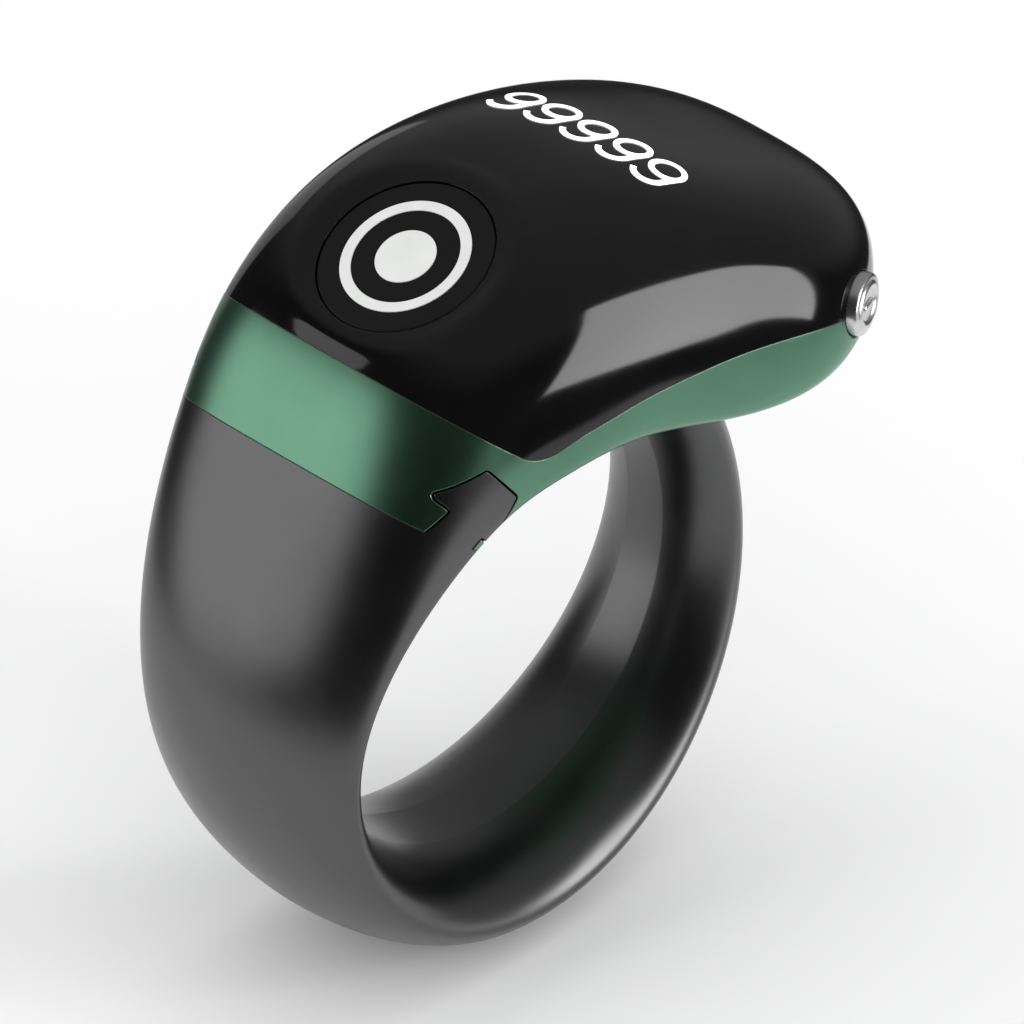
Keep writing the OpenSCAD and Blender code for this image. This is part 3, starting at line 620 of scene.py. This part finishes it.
def housing():
    half = plinth_w / 2
    plinth_to = pin_x + insulator_w / 2 + insulator_lip / 2
    plinth = slab("plinth", (cell_from - 2 * insulator_lip, -half, 0), (plinth_to, half, plinth_z))
    side = side_switch_w / 2
    foot_low = (-side, -side - OVERRUN, -side_bracket_end)
    foot_high = (side, -side, -side_switch_top)
    foot = slab("foot", foot_low, foot_high, at_side)
    well = disc("side_well", side_well_r, 0, side_well_depth + STATIC_GAP, at_side)
    hollow = combine(bay(), bosses(board_z) + [plinth, foot, well])
    above = combine(prism("above", cover_outline(-SEAM_GAP)), bosses(board_z))
    pocket = cell_w / 2 + STATIC_GAP
    pins = insulator_l / 2 + STATIC_GAP
    across = insulator_w / 2 + STATIC_GAP
    head_r = BAND_SCREW_R * 1.7 + STATIC_GAP
    head_from = plinth_z - STATIC_GAP - BAND_SCREW_R * 0.9
    screw_from = board_top - BOARD_T * 3.4 - STATIC_GAP
    cell_low = (cell_from - STATIC_GAP, -pocket, plinth_z)
    cell_high = (cell_to + STATIC_GAP, pocket, board_z)
    cutters = [
        above,
        hollow,
        prism("before", before_joint(SEAM_GAP)),
        prism("slot", key_outline(KEY_GAP)),
        bore_cutter(),
        slab("cell", cell_low, cell_high),
        upright("band_screw_hole", band_screw_hole_r, 0, OVERRUN, band_screw_x),
        upright("band_screw_head", head_r, head_from, OVERRUN, band_screw_x),
        slab("pin_slot", (pin_x - across, -pins, 0), (pin_x + across, pins, OVERRUN)),
    ]
    for x, y in boss_places:
        cutters.append(upright("screw_hole", SCREW_R + STATIC_GAP, screw_from, OVERRUN, x, y))
    shell = skin("housing_shell", head_places, 0, AROUND)
    return combine(shell, cutters + side_hole(side_switch_top))


to_button = at_button.inverted()


def dished(p):
    """A point of the cover's skin, let down into the soft dish round the count button."""
    local = to_button @ p
    r = math.hypot(local.x, local.y) / MM
    if r > DISH_R or local.z < -CAP_T * MM:
        return p
    inner = CAP_R + CAP_GAP
    t = max(0.0, (r - inner) / (DISH_R - inner))
    local.z *= t * t * (3 - 2 * t)
    return at_button @ local


def cover():
    kept = [
        disc("well", well_r, -OVERRUN / 4, well_depth, at_button),
        block("display", PANEL_W, PANEL_L, -OVERRUN, panel_gasket_depth, at_display),
        disc("side_well", side_well_r, 0, side_well_depth, at_side),
    ]
    room = 2 * STATIC_GAP
    bridge_l, bridge_w = button_board_l + room, 2 * well_r + room
    panel_w, panel_l = PANEL_W + room, PANEL_L + room
    cutters = [
        prism("below", housing_outline(SEAM_GAP)),
        prism("before", before_joint(SEAM_GAP)),
        combine(bay(), kept),
        disc("well_room", well_r, well_depth, bridge_end, at_button),
        block("bridge", bridge_l, bridge_w, well_depth, bridge_end + STATIC_GAP, at_button),
        block("panel", panel_w, panel_l, panel_gasket_depth, panel_end, at_display),
        disc("button_hole", CAP_R + CAP_GAP, -OVERRUN / 4, OVERRUN / 4, at_button, CAP_AROUND),
    ]
    shell = skin("cover_shell", head_places, 0, AROUND, dished)
    return combine(shell, cutters + side_hole(side_well_depth + SHELL_WALL))


pieces = {}


def finish_of(obj, node, body):
    """Hands a finished mesh to the frame in place of its node."""
    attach(obj, body)
    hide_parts(node)
    pieces[node] = obj
    return obj


for shell_node, make in (("ring_band", band), ("lower_housing", housing), ("top_cover", cover)):
    finish_of(smooth(make()), shell_node, "ring")


# Count button and its marks
def crown_lift(y):
    """Fall of the crown under the display's tangent plane at a distance across the finger."""
    up = np.linalg.norm(crown_at(S_DISPLAY) - girdle_at(S_DISPLAY))
    share = 1 - (abs(y) / float(width_at(S_DISPLAY))) ** float(n_across(S_DISPLAY))
    return up * (1 - share ** (1 / float(n_outer(S_DISPLAY))))


def lathe_piece(node, body, profile, place, count=200):
    """A piece of one turned profile."""
    return finish_of(smooth(turned(node + "_form", profile, place, count)), node, body)


def round_edge(r, z, radius, steps=6):
    """Points of a rounded edge at radius r and height z, going from the side to the top."""
    turns = np.linspace(0, math.pi / 2, steps)
    return [(r - radius + radius * math.cos(t), z - radius + radius * math.sin(t)) for t in turns]


CAP_EDGE = 0.1
groove = CAP_T * 0.3
groove_r = CAP_R - groove
stem_r = CAP_R * 0.3
cap_profile = [(0, -stem_end), (stem_r, -stem_end), (stem_r, -flange_end)]
cap_profile += [(flange_r, -flange_end), (flange_r, -CAP_T), (CAP_R, -CAP_T)]
cap_profile += [(CAP_R, -2 * groove), (groove_r, -2 * groove), (groove_r, -groove)]
cap_profile += [(CAP_R, -groove)] + round_edge(CAP_R, 0, CAP_EDGE) + [(CAP_R * 0.6, 0), (0, 0)]
lathe_piece("count_button", "count_cap", cap_profile, at_button, CAP_AROUND)

MARK_T = CAP_T * 0.04
MARK_EDGE = 0.01


def mark_side(r):
    """Outer side of a printed mark, from the cap's face to its softened upper edge."""
    return [(r, 0)] + round_edge(r, MARK_T, MARK_EDGE, 4)


def ring_mark(count=CAP_AROUND):
    """The flat ring mark with softened upper edges."""
    inner = MARK_RING_R - MARK_RING_W
    profile = [(inner, 0)] + mark_side(MARK_RING_R)
    profile += [(inner + MARK_EDGE, MARK_T), (inner, MARK_T - MARK_EDGE)]
    verts = [v for r, h in profile for v in circle_of(r, h, count)]
    n = len(profile)
    faces = []
    for j in range(n):
        faces += between_rows(j * count, (j + 1) % n * count, count)
    obj = mesh_object("ring_mark_form", verts, faces)
    obj.data.transform(at_button)
    return finish_of(smooth(obj), "button_ring_mark", "count_cap")


ring_mark()
dot_profile = [(0, 0)] + mark_side(MARK_DOT_R) + [(0, MARK_T)]
lathe_piece("button_dot_mark", "count_cap", dot_profile, at_button)

# Numerals: five nines, drawn a little finer and closer than in the part
ROW_LEAN = 0.072
ROW_AT = (-0.05, 0.11)
ROW_TURN = math.radians(4.1)
TAIL_ANGLE = math.radians(35)
STEM_STEPS = 6
DIGIT_PLACES = range(-2, 3)
digit_w = DIGIT_H * 0.66
digit_drawn_h = DIGIT_H * 1.05
digit_step = DIGIT_PITCH * 0.96
digit_line = DIGIT_STROKE * 0.64
digit_t = DIGIT_STROKE * 0.25
crown_speed = float(np.linalg.norm(crown_at(S_DISPLAY + 0.5) - crown_at(S_DISPLAY - 0.5)))


def digit_strip(steps=14):
    """Centre line of a 9 as (up, right) points: bowl first, then stem and tail."""
    r = (digit_w - digit_line) / 2
    rise = (digit_drawn_h - digit_w) / 2
    turns = np.linspace(0, 2 * math.pi, 4 * steps, endpoint=False)
    bowl = [(rise + r * math.cos(t), r * math.sin(t)) for t in turns]
    stem = [(rise * (1 - 2 * k / STEM_STEPS), r) for k in range(STEM_STEPS + 1)]
    turns = np.linspace(0, math.pi - TAIL_ANGLE, 2 * steps)[1:]
    tail = [(-rise - r * math.sin(t), r * math.cos(t)) for t in turns]
    return bowl, stem + tail


def ribbon(points, closed, half):
    """Left and right edges of a flat stroke along a line."""
    p = np.array(points)
    d = np.roll(p, -1, 0) - np.roll(p, 1, 0) if closed else np.gradient(p, axis=0)
    d /= np.linalg.norm(d, axis=1)[:, None]
    side = np.stack([-d[:, 1], d[:, 0]], -1) * half
    return p + side, p - side


def on_cover(up, right, k):
    """Where a point of numeral k lies in the display's frame, in mm."""
    c, s = math.cos(ROW_TURN), math.sin(ROW_TURN)
    x = up * c - right * s - k * digit_step * ROW_LEAN
    return (x + ROW_AT[0], -right * c - up * s + k * digit_step + ROW_AT[1])


def surface_height(x, y):
    """Height of the cover over the display's tangent plane at a point of it."""
    base = crown_at(S_DISPLAY + x / crown_speed)
    local = at_display.inverted() @ Vector((base[0] * MM, 0, base[1] * MM))
    return local.z / MM - crown_lift(y)


def numerals():
    verts, faces = [], []
    low, high = -digit_t * 0.3, digit_t * 0.5
    for k in DIGIT_PLACES:
        for points, closed in zip(digit_strip(), (True, False)):
            left, right = ribbon(points, closed, digit_line / 2)
            n = len(left)
            base = len(verts)
            for edge, h in ((left, low), (left, high), (right, high), (right, low)):
                for up, rt in edge:
                    x, y = on_cover(up, rt, k)
                    verts.append((x * MM, y * MM, (surface_height(x, y) + h) * MM))
            for j in range(4):
                faces += between_rows(base + j * n, base + (j + 1) % 4 * n, n, closed)
            if not closed:
                faces += [tuple(base + j * n for j in range(4))]
                faces += [tuple(base + j * n + n - 1 for j in reversed(range(4)))]
    obj = mesh_object("numerals_form", verts, faces)
    obj.data.transform(at_display)
    bm = bmesh.new()
    bm.from_mesh(obj.data)
    bmesh.ops.recalc_face_normals(bm, faces=bm.faces)
    bm.to_mesh(obj.data)
    bm.free()
    return finish_of(smooth(obj), "display_numerals", "ring")


numerals()

# Side button: a cap with a raised ring and a bar across the middle
SIDE_EDGE = 0.15
RING_SHAPE = [
    (0.8, 0.78), (0.74, 0.95), (0.66, 1.0), (0.58, 0.95), (0.5, 0.76), (0.2, 0.74), (0, 0.74)
]
side_stem_r = SIDE_R * 0.56
side_profile = [(0, -side_stem_end), (side_stem_r, -side_stem_end)]
side_profile += [(side_stem_r, -side_flange_end)]
side_profile += [(side_flange_r, -side_flange_end), (side_flange_r, -side_flange_depth)]
side_profile += [(SIDE_R, -side_flange_depth)] + round_edge(SIDE_R, SIDE_PROUD * 0.75, SIDE_EDGE, 8)
side_profile += [(SIDE_R * a, SIDE_PROUD * b) for a, b in RING_SHAPE]
bar_l, bar_w = SIDE_R * 0.34, SIDE_R * 0.14
bar_low, bar_high = SIDE_PROUD * 0.5, SIDE_PROUD * 0.97


def bar(half_l, half_w, low, high, steps=10):
    """A small bar with round ends and a softened top."""
    turns = np.linspace(-math.pi / 2, math.pi / 2, steps)
    outline = [(half_l - half_w + half_w * math.cos(t), half_w * math.sin(t)) for t in turns]
    outline += [(-x, -y) for x, y in outline]
    fall = (high - low) / 4
    layers = [(1.0, low), (1.0, high - fall), (0.93, high - fall / 3), (0.8, high)]
    verts = [(x * k * MM, y * k * MM, h * MM) for k, h in layers for x, y in outline]
    n = len(outline)
    faces = [list(reversed(range(n)))]
    for j in range(len(layers) - 1):
        faces += between_rows(j * n, (j + 1) * n, n)
    faces.append([(len(layers) - 1) * n + i for i in range(n)])
    return mesh_object("bar", verts, faces)


def side_button():
    obj = turned("side_button_form", side_profile, Matrix.Identity(4), 160)
    combine(obj, [bar(bar_l, bar_w, bar_low, bar_high)], "UNION")
    obj.data.transform(at_side)
    return finish_of(smooth(obj), "side_button", "side_cap")


side_button()


# Finishes
class Finish:
    """A procedural finish: colour drift, roughness drift, grain and worn edges."""

    def __init__(self, name, roughness, metallic=0.0, **sockets):
        self.mat = bpy.data.materials.new(name)
        self.mat.use_nodes = True
        self.tree = self.mat.node_tree
        self.shader = self.tree.nodes["Principled BSDF"]
        self.shader.inputs["Roughness"].default_value = roughness
        self.shader.inputs["Metallic"].default_value = metallic
        for k, v in sockets.items():
            self.shader.inputs[k.replace("_", " ")].default_value = v
        self.coords = self.node("ShaderNodeTexCoord").outputs["Object"]
        self.base = None
        self.normal = None

    def node(self, kind, **settings):
        n = self.tree.nodes.new(kind)
        for k, v in settings.items():
            setattr(n, k, v)
        return n

    def link(self, a, b):
        self.tree.links.new(a, b)

    def map_range(self, value, limits, **settings):
        """A value carried over from one range to another."""
        m = self.node("ShaderNodeMapRange", **settings)
        self.link(value, m.inputs["Value"])
        for k, v in limits.items():
            m.inputs[k].default_value = v
        return m.outputs["Result"]

    def painted_shading(self, toward, start, end, dark, pale):
        """Painted light and shade: colour that goes softly from dark to pale along a direction,
        between two distances.
        """
        dot = self.node("ShaderNodeVectorMath", operation="DOT_PRODUCT")
        self.link(self.coords, dot.inputs[0])
        dot.inputs[1].default_value = toward.normalized()
        limits = {"From Min": start * MM, "From Max": end * MM, "To Min": dark, "To Max": pale}
        painted_shading = self.map_range(dot.outputs["Value"], limits, interpolation_type="SMOOTHSTEP")
        self.link(painted_shading, self.shader.inputs["Base Color"])

    def one_sided(self, strength):
        """Light from the front of a face only."""
        part = self.node("ShaderNodeMath", operation="SUBTRACT")
        part.inputs[0].default_value = strength
        whole = self.node("ShaderNodeMath", operation="MULTIPLY")
        self.link(self.node("ShaderNodeNewGeometry").outputs["Backfacing"], whole.inputs[0])
        whole.inputs[1].default_value = strength
        self.link(whole.outputs["Value"], part.inputs[1])
        self.link(part.outputs["Value"], self.shader.inputs["Emission Strength"])

    def noise(self, size_mm, detail=3.0, stretch=None):
        """Noise with features of about a size, stretched along an axis if asked."""
        n = self.node("ShaderNodeTexNoise")
        n.inputs["Scale"].default_value = 1 / (size_mm * MM)
        n.inputs["Detail"].default_value = detail
        source = self.coords
        if stretch:
            m = self.node("ShaderNodeMapping")
            m.inputs["Scale"].default_value = stretch
            self.link(source, m.inputs["Vector"])
            source = m.outputs["Vector"]
        self.link(source, n.inputs["Vector"])
        return n.outputs["Fac"]

    def ramp(self, value, stops):
        r = self.node("ShaderNodeValToRGB")
        for el, (pos, colour) in zip(r.color_ramp.elements, stops):
            el.position = pos
            el.color = (*colour, 1)
        self.link(value, r.inputs["Fac"])
        return r.outputs["Color"]

    def colour(self, dark, light, size_mm, spread=0.2):
        """Colour that drifts between two values in patches of about a size."""
        self.base = self.ramp(self.noise(size_mm), [(0.5 - spread, dark), (0.5 + spread, light)])
        self.link(self.base, self.shader.inputs["Base Color"])
        return self

    def worn(self, colour, radius_mm=0.05, start=0.02, end=0.25):
        """Another colour along worn edges, where a rounded normal leans from the true one."""
        bevel = self.node("ShaderNodeBevel", samples=4)
        bevel.inputs["Radius"].default_value = radius_mm * MM
        true = self.node("ShaderNodeNewGeometry").outputs["Normal"]
        lean = self.node("ShaderNodeVectorMath", operation="DOT_PRODUCT")
        self.link(bevel.outputs["Normal"], lean.inputs[0])
        self.link(true, lean.inputs[1])
        limits = {"From Min": 1 - start, "From Max": 1 - end}
        mix = self.node("ShaderNodeMix", data_type="RGBA")
        self.link(self.map_range(lean.outputs["Value"], limits), mix.inputs["Factor"])
        self.link(self.base, mix.inputs["A"])
        mix.inputs["B"].default_value = (*colour, 1)
        self.link(mix.outputs["Result"], self.shader.inputs["Base Color"])
        self.normal = bevel.outputs["Normal"]
        return self

    def rough(self, low, high, size_mm):
        """Roughness that drifts between two values in patches of about a size."""
        limits = {"From Min": 0.3, "From Max": 0.7, "To Min": low, "To Max": high}
        m = self.map_range(self.noise(size_mm, 4.0), limits)
        self.link(m, self.shader.inputs["Roughness"])
        return self

    def grain(self, size_mm, depth_mm, stretch=None):
        """Fine relief of a size and a depth."""
        b = self.node("ShaderNodeBump")
        b.inputs["Distance"].default_value = depth_mm * MM
        self.link(self.noise(size_mm, 2.0, stretch), b.inputs["Height"])
        if self.normal:
            self.link(self.normal, b.inputs["Normal"])
        self.link(b.outputs["Normal"], self.shader.inputs["Normal"])
        return self


def give(finish, *names):
    """Puts a finish on pieces in place of their own materials."""
    for name in names:
        obj = pieces.get(name) or nodes[name]
        obj.data.materials.clear()
        obj.data.materials.append(finish.mat)


band_metal = Finish("satin_gunmetal", 0.3, 1.0)
band_metal.colour((0.104, 0.104, 0.105), (0.113, 0.113, 0.114), 5)
band_metal.worn((0.16, 0.16, 0.162)).rough(0.28, 0.33, 2.5).grain(0.05, 0.0004)
green_metal = Finish("satin_green", 0.3, 1.0)
green_metal.colour((0.112, 0.245, 0.165), (0.122, 0.265, 0.18), 5)
green_metal.worn((0.16, 0.32, 0.23)).rough(0.28, 0.33, 2.5).grain(0.05, 0.0004)
black_gloss = Finish("gloss_black", 0.1, Specular_IOR_Level=0.4)
black_gloss.colour((0.002, 0.002, 0.0021), (0.003, 0.003, 0.0032), 4)
black_gloss.worn((0.01, 0.01, 0.01)).rough(0.08, 0.11, 3).grain(1.5, 0.0003)
black_matte = Finish("matte_black", 0.6, Specular_IOR_Level=0.25)
black_matte.colour((0.0055, 0.0055, 0.0058), (0.007, 0.007, 0.0073), 2)
black_matte.worn((0.016, 0.016, 0.016)).rough(0.55, 0.65, 0.8).grain(0.05, 0.001)
white_print = Finish("white_print", 0.6).colour((0.69, 0.7, 0.69), (0.74, 0.75, 0.74), 1.2)
white_print.rough(0.5, 0.7, 0.5).grain(0.05, 0.001)
lit_white = Finish("lit_white", 0.4, Emission_Strength=1.0)
lit_white.colour((0.9, 0.92, 0.95), (1, 1, 1), 0.8)
lit_white.rough(0.35, 0.45, 0.5)
lit_white.shader.inputs["Emission Color"].default_value = (0.95, 0.97, 1, 1)
brushed = Finish("brushed_silver", 0.28, 1.0).colour((0.6, 0.6, 0.61), (0.68, 0.68, 0.69), 1.0)
brushed.worn((0.75, 0.75, 0.76), 0.03).rough(0.24, 0.32, 0.7).grain(0.05, 0.0006)
bracket = Finish("satin_steel", 0.3, 1.0).colour((0.45, 0.46, 0.47), (0.58, 0.59, 0.6), 1.5)
bracket.worn((0.7, 0.7, 0.7), 0.03).rough(0.24, 0.4, 0.6).grain(0.08, 0.002, stretch=(1, 8, 1))
screw = Finish("screw_steel", 0.28, 1.0).colour((0.4, 0.4, 0.42), (0.55, 0.55, 0.57), 0.6)
screw.worn((0.7, 0.7, 0.7), 0.02).rough(0.2, 0.35, 0.4).grain(0.05, 0.001)
ivory = Finish("ivory_plastic", 0.45).colour((0.55, 0.5, 0.38), (0.65, 0.6, 0.47), 0.7)
ivory.rough(0.38, 0.52, 0.5).grain(0.04, 0.001)
rubber = Finish("seal_rubber", 0.7).colour((0.012, 0.012, 0.012), (0.022, 0.022, 0.022), 0.5)
rubber.rough(0.6, 0.8, 0.3).grain(0.04, 0.003)
foam = Finish("foam_sheet", 0.9).colour((0.015, 0.015, 0.016), (0.035, 0.035, 0.036), 0.15)
foam.rough(0.8, 0.98, 0.2).grain(0.12, 0.01)
circuit = Finish("circuit_green", 0.35)
circuit.colour((0.012, 0.075, 0.035), (0.02, 0.11, 0.055), 0.6, 0.08)
circuit.worn((0.3, 0.28, 0.12), 0.03).rough(0.28, 0.45, 0.5).grain(0.2, 0.004)
film = Finish("amber_film", 0.3).colour((0.4, 0.17, 0.03), (0.52, 0.25, 0.05), 0.5)
film.rough(0.22, 0.4, 0.4).grain(0.1, 0.002)
resin = Finish("chip_resin", 0.6).colour((0.01, 0.01, 0.01), (0.02, 0.02, 0.021), 0.3)
resin.worn((0.05, 0.05, 0.05), 0.03).rough(0.5, 0.7, 0.2).grain(0.03, 0.002)
ceramic = Finish("chip_ceramic", 0.5).colour((0.55, 0.52, 0.45), (0.66, 0.63, 0.56), 0.3)
ceramic.rough(0.42, 0.6, 0.2).grain(0.03, 0.001)
brown_ceramic = Finish("brown_ceramic", 0.5).colour((0.16, 0.1, 0.05), (0.28, 0.19, 0.1), 0.3)
brown_ceramic.rough(0.42, 0.6, 0.2).grain(0.03, 0.001)
foil = Finish("cell_foil", 0.35, 0.9).colour((0.5, 0.51, 0.53), (0.62, 0.63, 0.65), 1.2)
foil.worn((0.75, 0.75, 0.76), 0.04).rough(0.28, 0.45, 0.6).grain(0.5, 0.02)
lead = Finish("red_lead", 0.4).colour((0.35, 0.02, 0.015), (0.46, 0.03, 0.02), 0.4)
lead.rough(0.32, 0.5, 0.3).grain(0.05, 0.001)
dark_plastic = Finish("dark_plastic", 0.55).colour((0.02, 0.02, 0.021), (0.035, 0.035, 0.036), 0.8)
dark_plastic.worn((0.07, 0.07, 0.07), 0.03).rough(0.48, 0.62, 0.4).grain(0.05, 0.002)
panel = Finish("panel_glass", 0.08).colour((0.003, 0.003, 0.005), (0.006, 0.006, 0.009), 1.5)
panel.rough(0.05, 0.12, 1.0).grain(0.6, 0.0004)
gold = Finish("gold_plate", 0.18, 1.0).colour((0.75, 0.53, 0.2), (0.85, 0.63, 0.27), 0.4)
gold.worn((0.9, 0.75, 0.45), 0.02).rough(0.12, 0.25, 0.2).grain(0.03, 0.0006)

give(band_metal, "ring_band")
give(green_metal, "lower_housing")
give(black_gloss, "top_cover")
give(black_matte, "count_button")
give(white_print, "button_ring_mark", "button_dot_mark")
give(rubber, "button_seal")
give(ivory, "count_plunger", "side_plunger")
give(bracket, "count_switch", "switch_bridge", "side_switch", "side_bracket", "vibration_motor")
give(circuit, "button_board", "main_board")
give(film, "button_flex", "display_flex")
give(lit_white, "display_numerals")
give(foam, "display_gasket", "battery_pad")
give(panel, "display_panel")
give(dark_plastic, "display_frame", "pin_insulator")
give(resin, "controller_chip", "memory_chip")
give(ceramic, "antenna_chip")
give(brown_ceramic, "small_components")
give(foil, "battery_cell")
give(lead, "battery_leads")
give(brushed, "side_button")
give(gold, "charging_pins")
give(screw, "board_screws", "band_screw")

# Camera at the photograph's angle: a long lens, so the view is nearly parallel
RIGHT = Vector((0.7169, -0.6972, 0))
BACK = Vector((-0.5800, -0.5964, 0.5548))
UP = BACK.cross(RIGHT)
PICTURE = 1024
PIXELS_PER_MM = 25.16
BORE_AT = Vector((465.3, 598.7))
DISTANCE = 1.64
SENSOR = 36
aim = (RIGHT * (PICTURE / 2 - BORE_AT.x) + UP * (BORE_AT.y - PICTURE / 2)) / PIXELS_PER_MM * MM
camera = bpy.data.objects.new("camera", bpy.data.cameras.new("camera"))
bpy.context.scene.collection.objects.link(camera)
view_turn = Matrix((RIGHT, UP, BACK)).transposed().to_4x4()
camera.matrix_world = Matrix.Translation(aim + BACK * DISTANCE) @ view_turn
camera.data.sensor_width = SENSOR
camera.data.lens = SENSOR * DISTANCE / (PICTURE / PIXELS_PER_MM * MM)
camera.data.clip_start = 0.01
camera.data.clip_end = 20
bpy.context.scene.camera = camera

# Floor, softboxes, a dark tent with a painted lit patch that only reflections see, and white
# surroundings
FLOOR_R = 58
FLOOR_BACK = 14
FLOOR_STEPS = 128
TENT_R = 900
TENT_DARK_TO, TENT_PAINTED_LIGHT_FROM = TENT_R * 0.24, TENT_R * 0.6
TENT_DARK, TENT_PAINTED_LIGHT = 0.035, 0.25
LAMP_STRENGTH = 6.0
LAMP_AT = 0.6
LAMP_CORNERS = [(0.80, -0.36, 0.46), (0.91, -0.39, -0.10), (0.97, 0.2, 0.12), (0.73, 0.34, 0.60)]
away = Vector((-BACK.x, -BACK.y, 0)).normalized()
floor_at = away * FLOOR_BACK * MM
floor_at.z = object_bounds()[0][2]
floor = mesh_object("floor", circle_of(FLOOR_R, 0, FLOOR_STEPS), [tuple(range(FLOOR_STEPS))])
floor.data.transform(Matrix.Translation(floor_at))
tent = turned("tent", ball(TENT_R, 0), Matrix.Identity(4), 96)
tent.visible_camera = False
tent.visible_diffuse = False
tent.visible_transmission = False
tent.visible_shadow = False
floor_finish = Finish("pale_floor", 0.9, Specular_IOR_Level=0.0)
floor_finish.colour((0.88, 0.88, 0.88), (0.9, 0.9, 0.9), 40).rough(0.85, 0.95, 5)
tent_cloth_and_painted_light = Finish("tent_cloth", 0.9, Specular_IOR_Level=0.0)
# Painted light on the tent: its cloth turns pale upwards, away from the camera and to the right, as
# if lit there, and stays dark elsewhere
tent_lit_toward = away * 0.5 + RIGHT * 0.3 + Vector((0, 0, 1))
tent_cloth_and_painted_light.painted_shading(tent_lit_toward, TENT_DARK_TO, TENT_PAINTED_LIGHT_FROM, TENT_DARK, TENT_PAINTED_LIGHT)
lamp_finish = Finish("lamp_cloth", 0.9)
lamp_finish.one_sided(LAMP_STRENGTH)
lamp_finish.colour((0.5, 0.5, 0.5), (0.55, 0.55, 0.55), 40)
lamp_finish.shader.inputs["Emission Color"].default_value = (1, 1, 1, 1)


def view_direction(right, up, back):
    """A direction given in the camera's own axes."""
    return (RIGHT * right + UP * up + BACK * back).normalized()


head = Vector((HEAD_REACH / 2, 0, BORE_R)) * MM
lamp_verts = [head + view_direction(*c) * LAMP_AT for c in LAMP_CORNERS]
lamp = mesh_object("lamp_right", lamp_verts, [(3, 2, 1, 0)])
lamp.visible_camera = False
for thing, finish in ((floor, floor_finish), (tent, tent_cloth_and_painted_light), (lamp, lamp_finish)):
    thing.data.materials.append(finish.mat)


# An area light of Blender shows a radiance of its power over this many times its area
AREA_FACTOR = 4


def softbox(name, toward, distance, size, radiance, roll=0):
    """A rectangular light seen from the head in a direction, with the radiance it shows."""
    d = view_direction(*toward)
    light = bpy.data.lights.new(name, "AREA")
    light.shape = "RECTANGLE"
    light.size, light.size_y = size
    light.energy = radiance * AREA_FACTOR * size[0] * size[1]
    obj = bpy.data.objects.new(name, light)
    bpy.context.scene.collection.objects.link(obj)
    obj.visible_camera = False
    across = UP.cross(d).normalized()
    facing = Matrix((across, d.cross(across), d)).transposed().to_4x4()
    turn = Matrix.Rotation(math.radians(roll), 4, "Z")
    obj.matrix_world = Matrix.Translation(head + d * distance) @ facing @ turn


softbox("left", (-0.97, 0.02, 0.11), LAMP_AT, (0.4, 0.42), radiance=1.35, roll=-15)
softbox("behind", (-0.42, 0.42, -0.8), LAMP_AT, (0.3, 0.3), radiance=0.36)

world = bpy.data.worlds.new("surroundings")
bpy.context.scene.world = world
world.use_nodes = True
world.node_tree.nodes["Background"].inputs["Color"].default_value = (1, 1, 1, 1)
world.cycles.sampling_method = "NONE"
bpy.context.scene.view_settings.view_transform = "Standard"
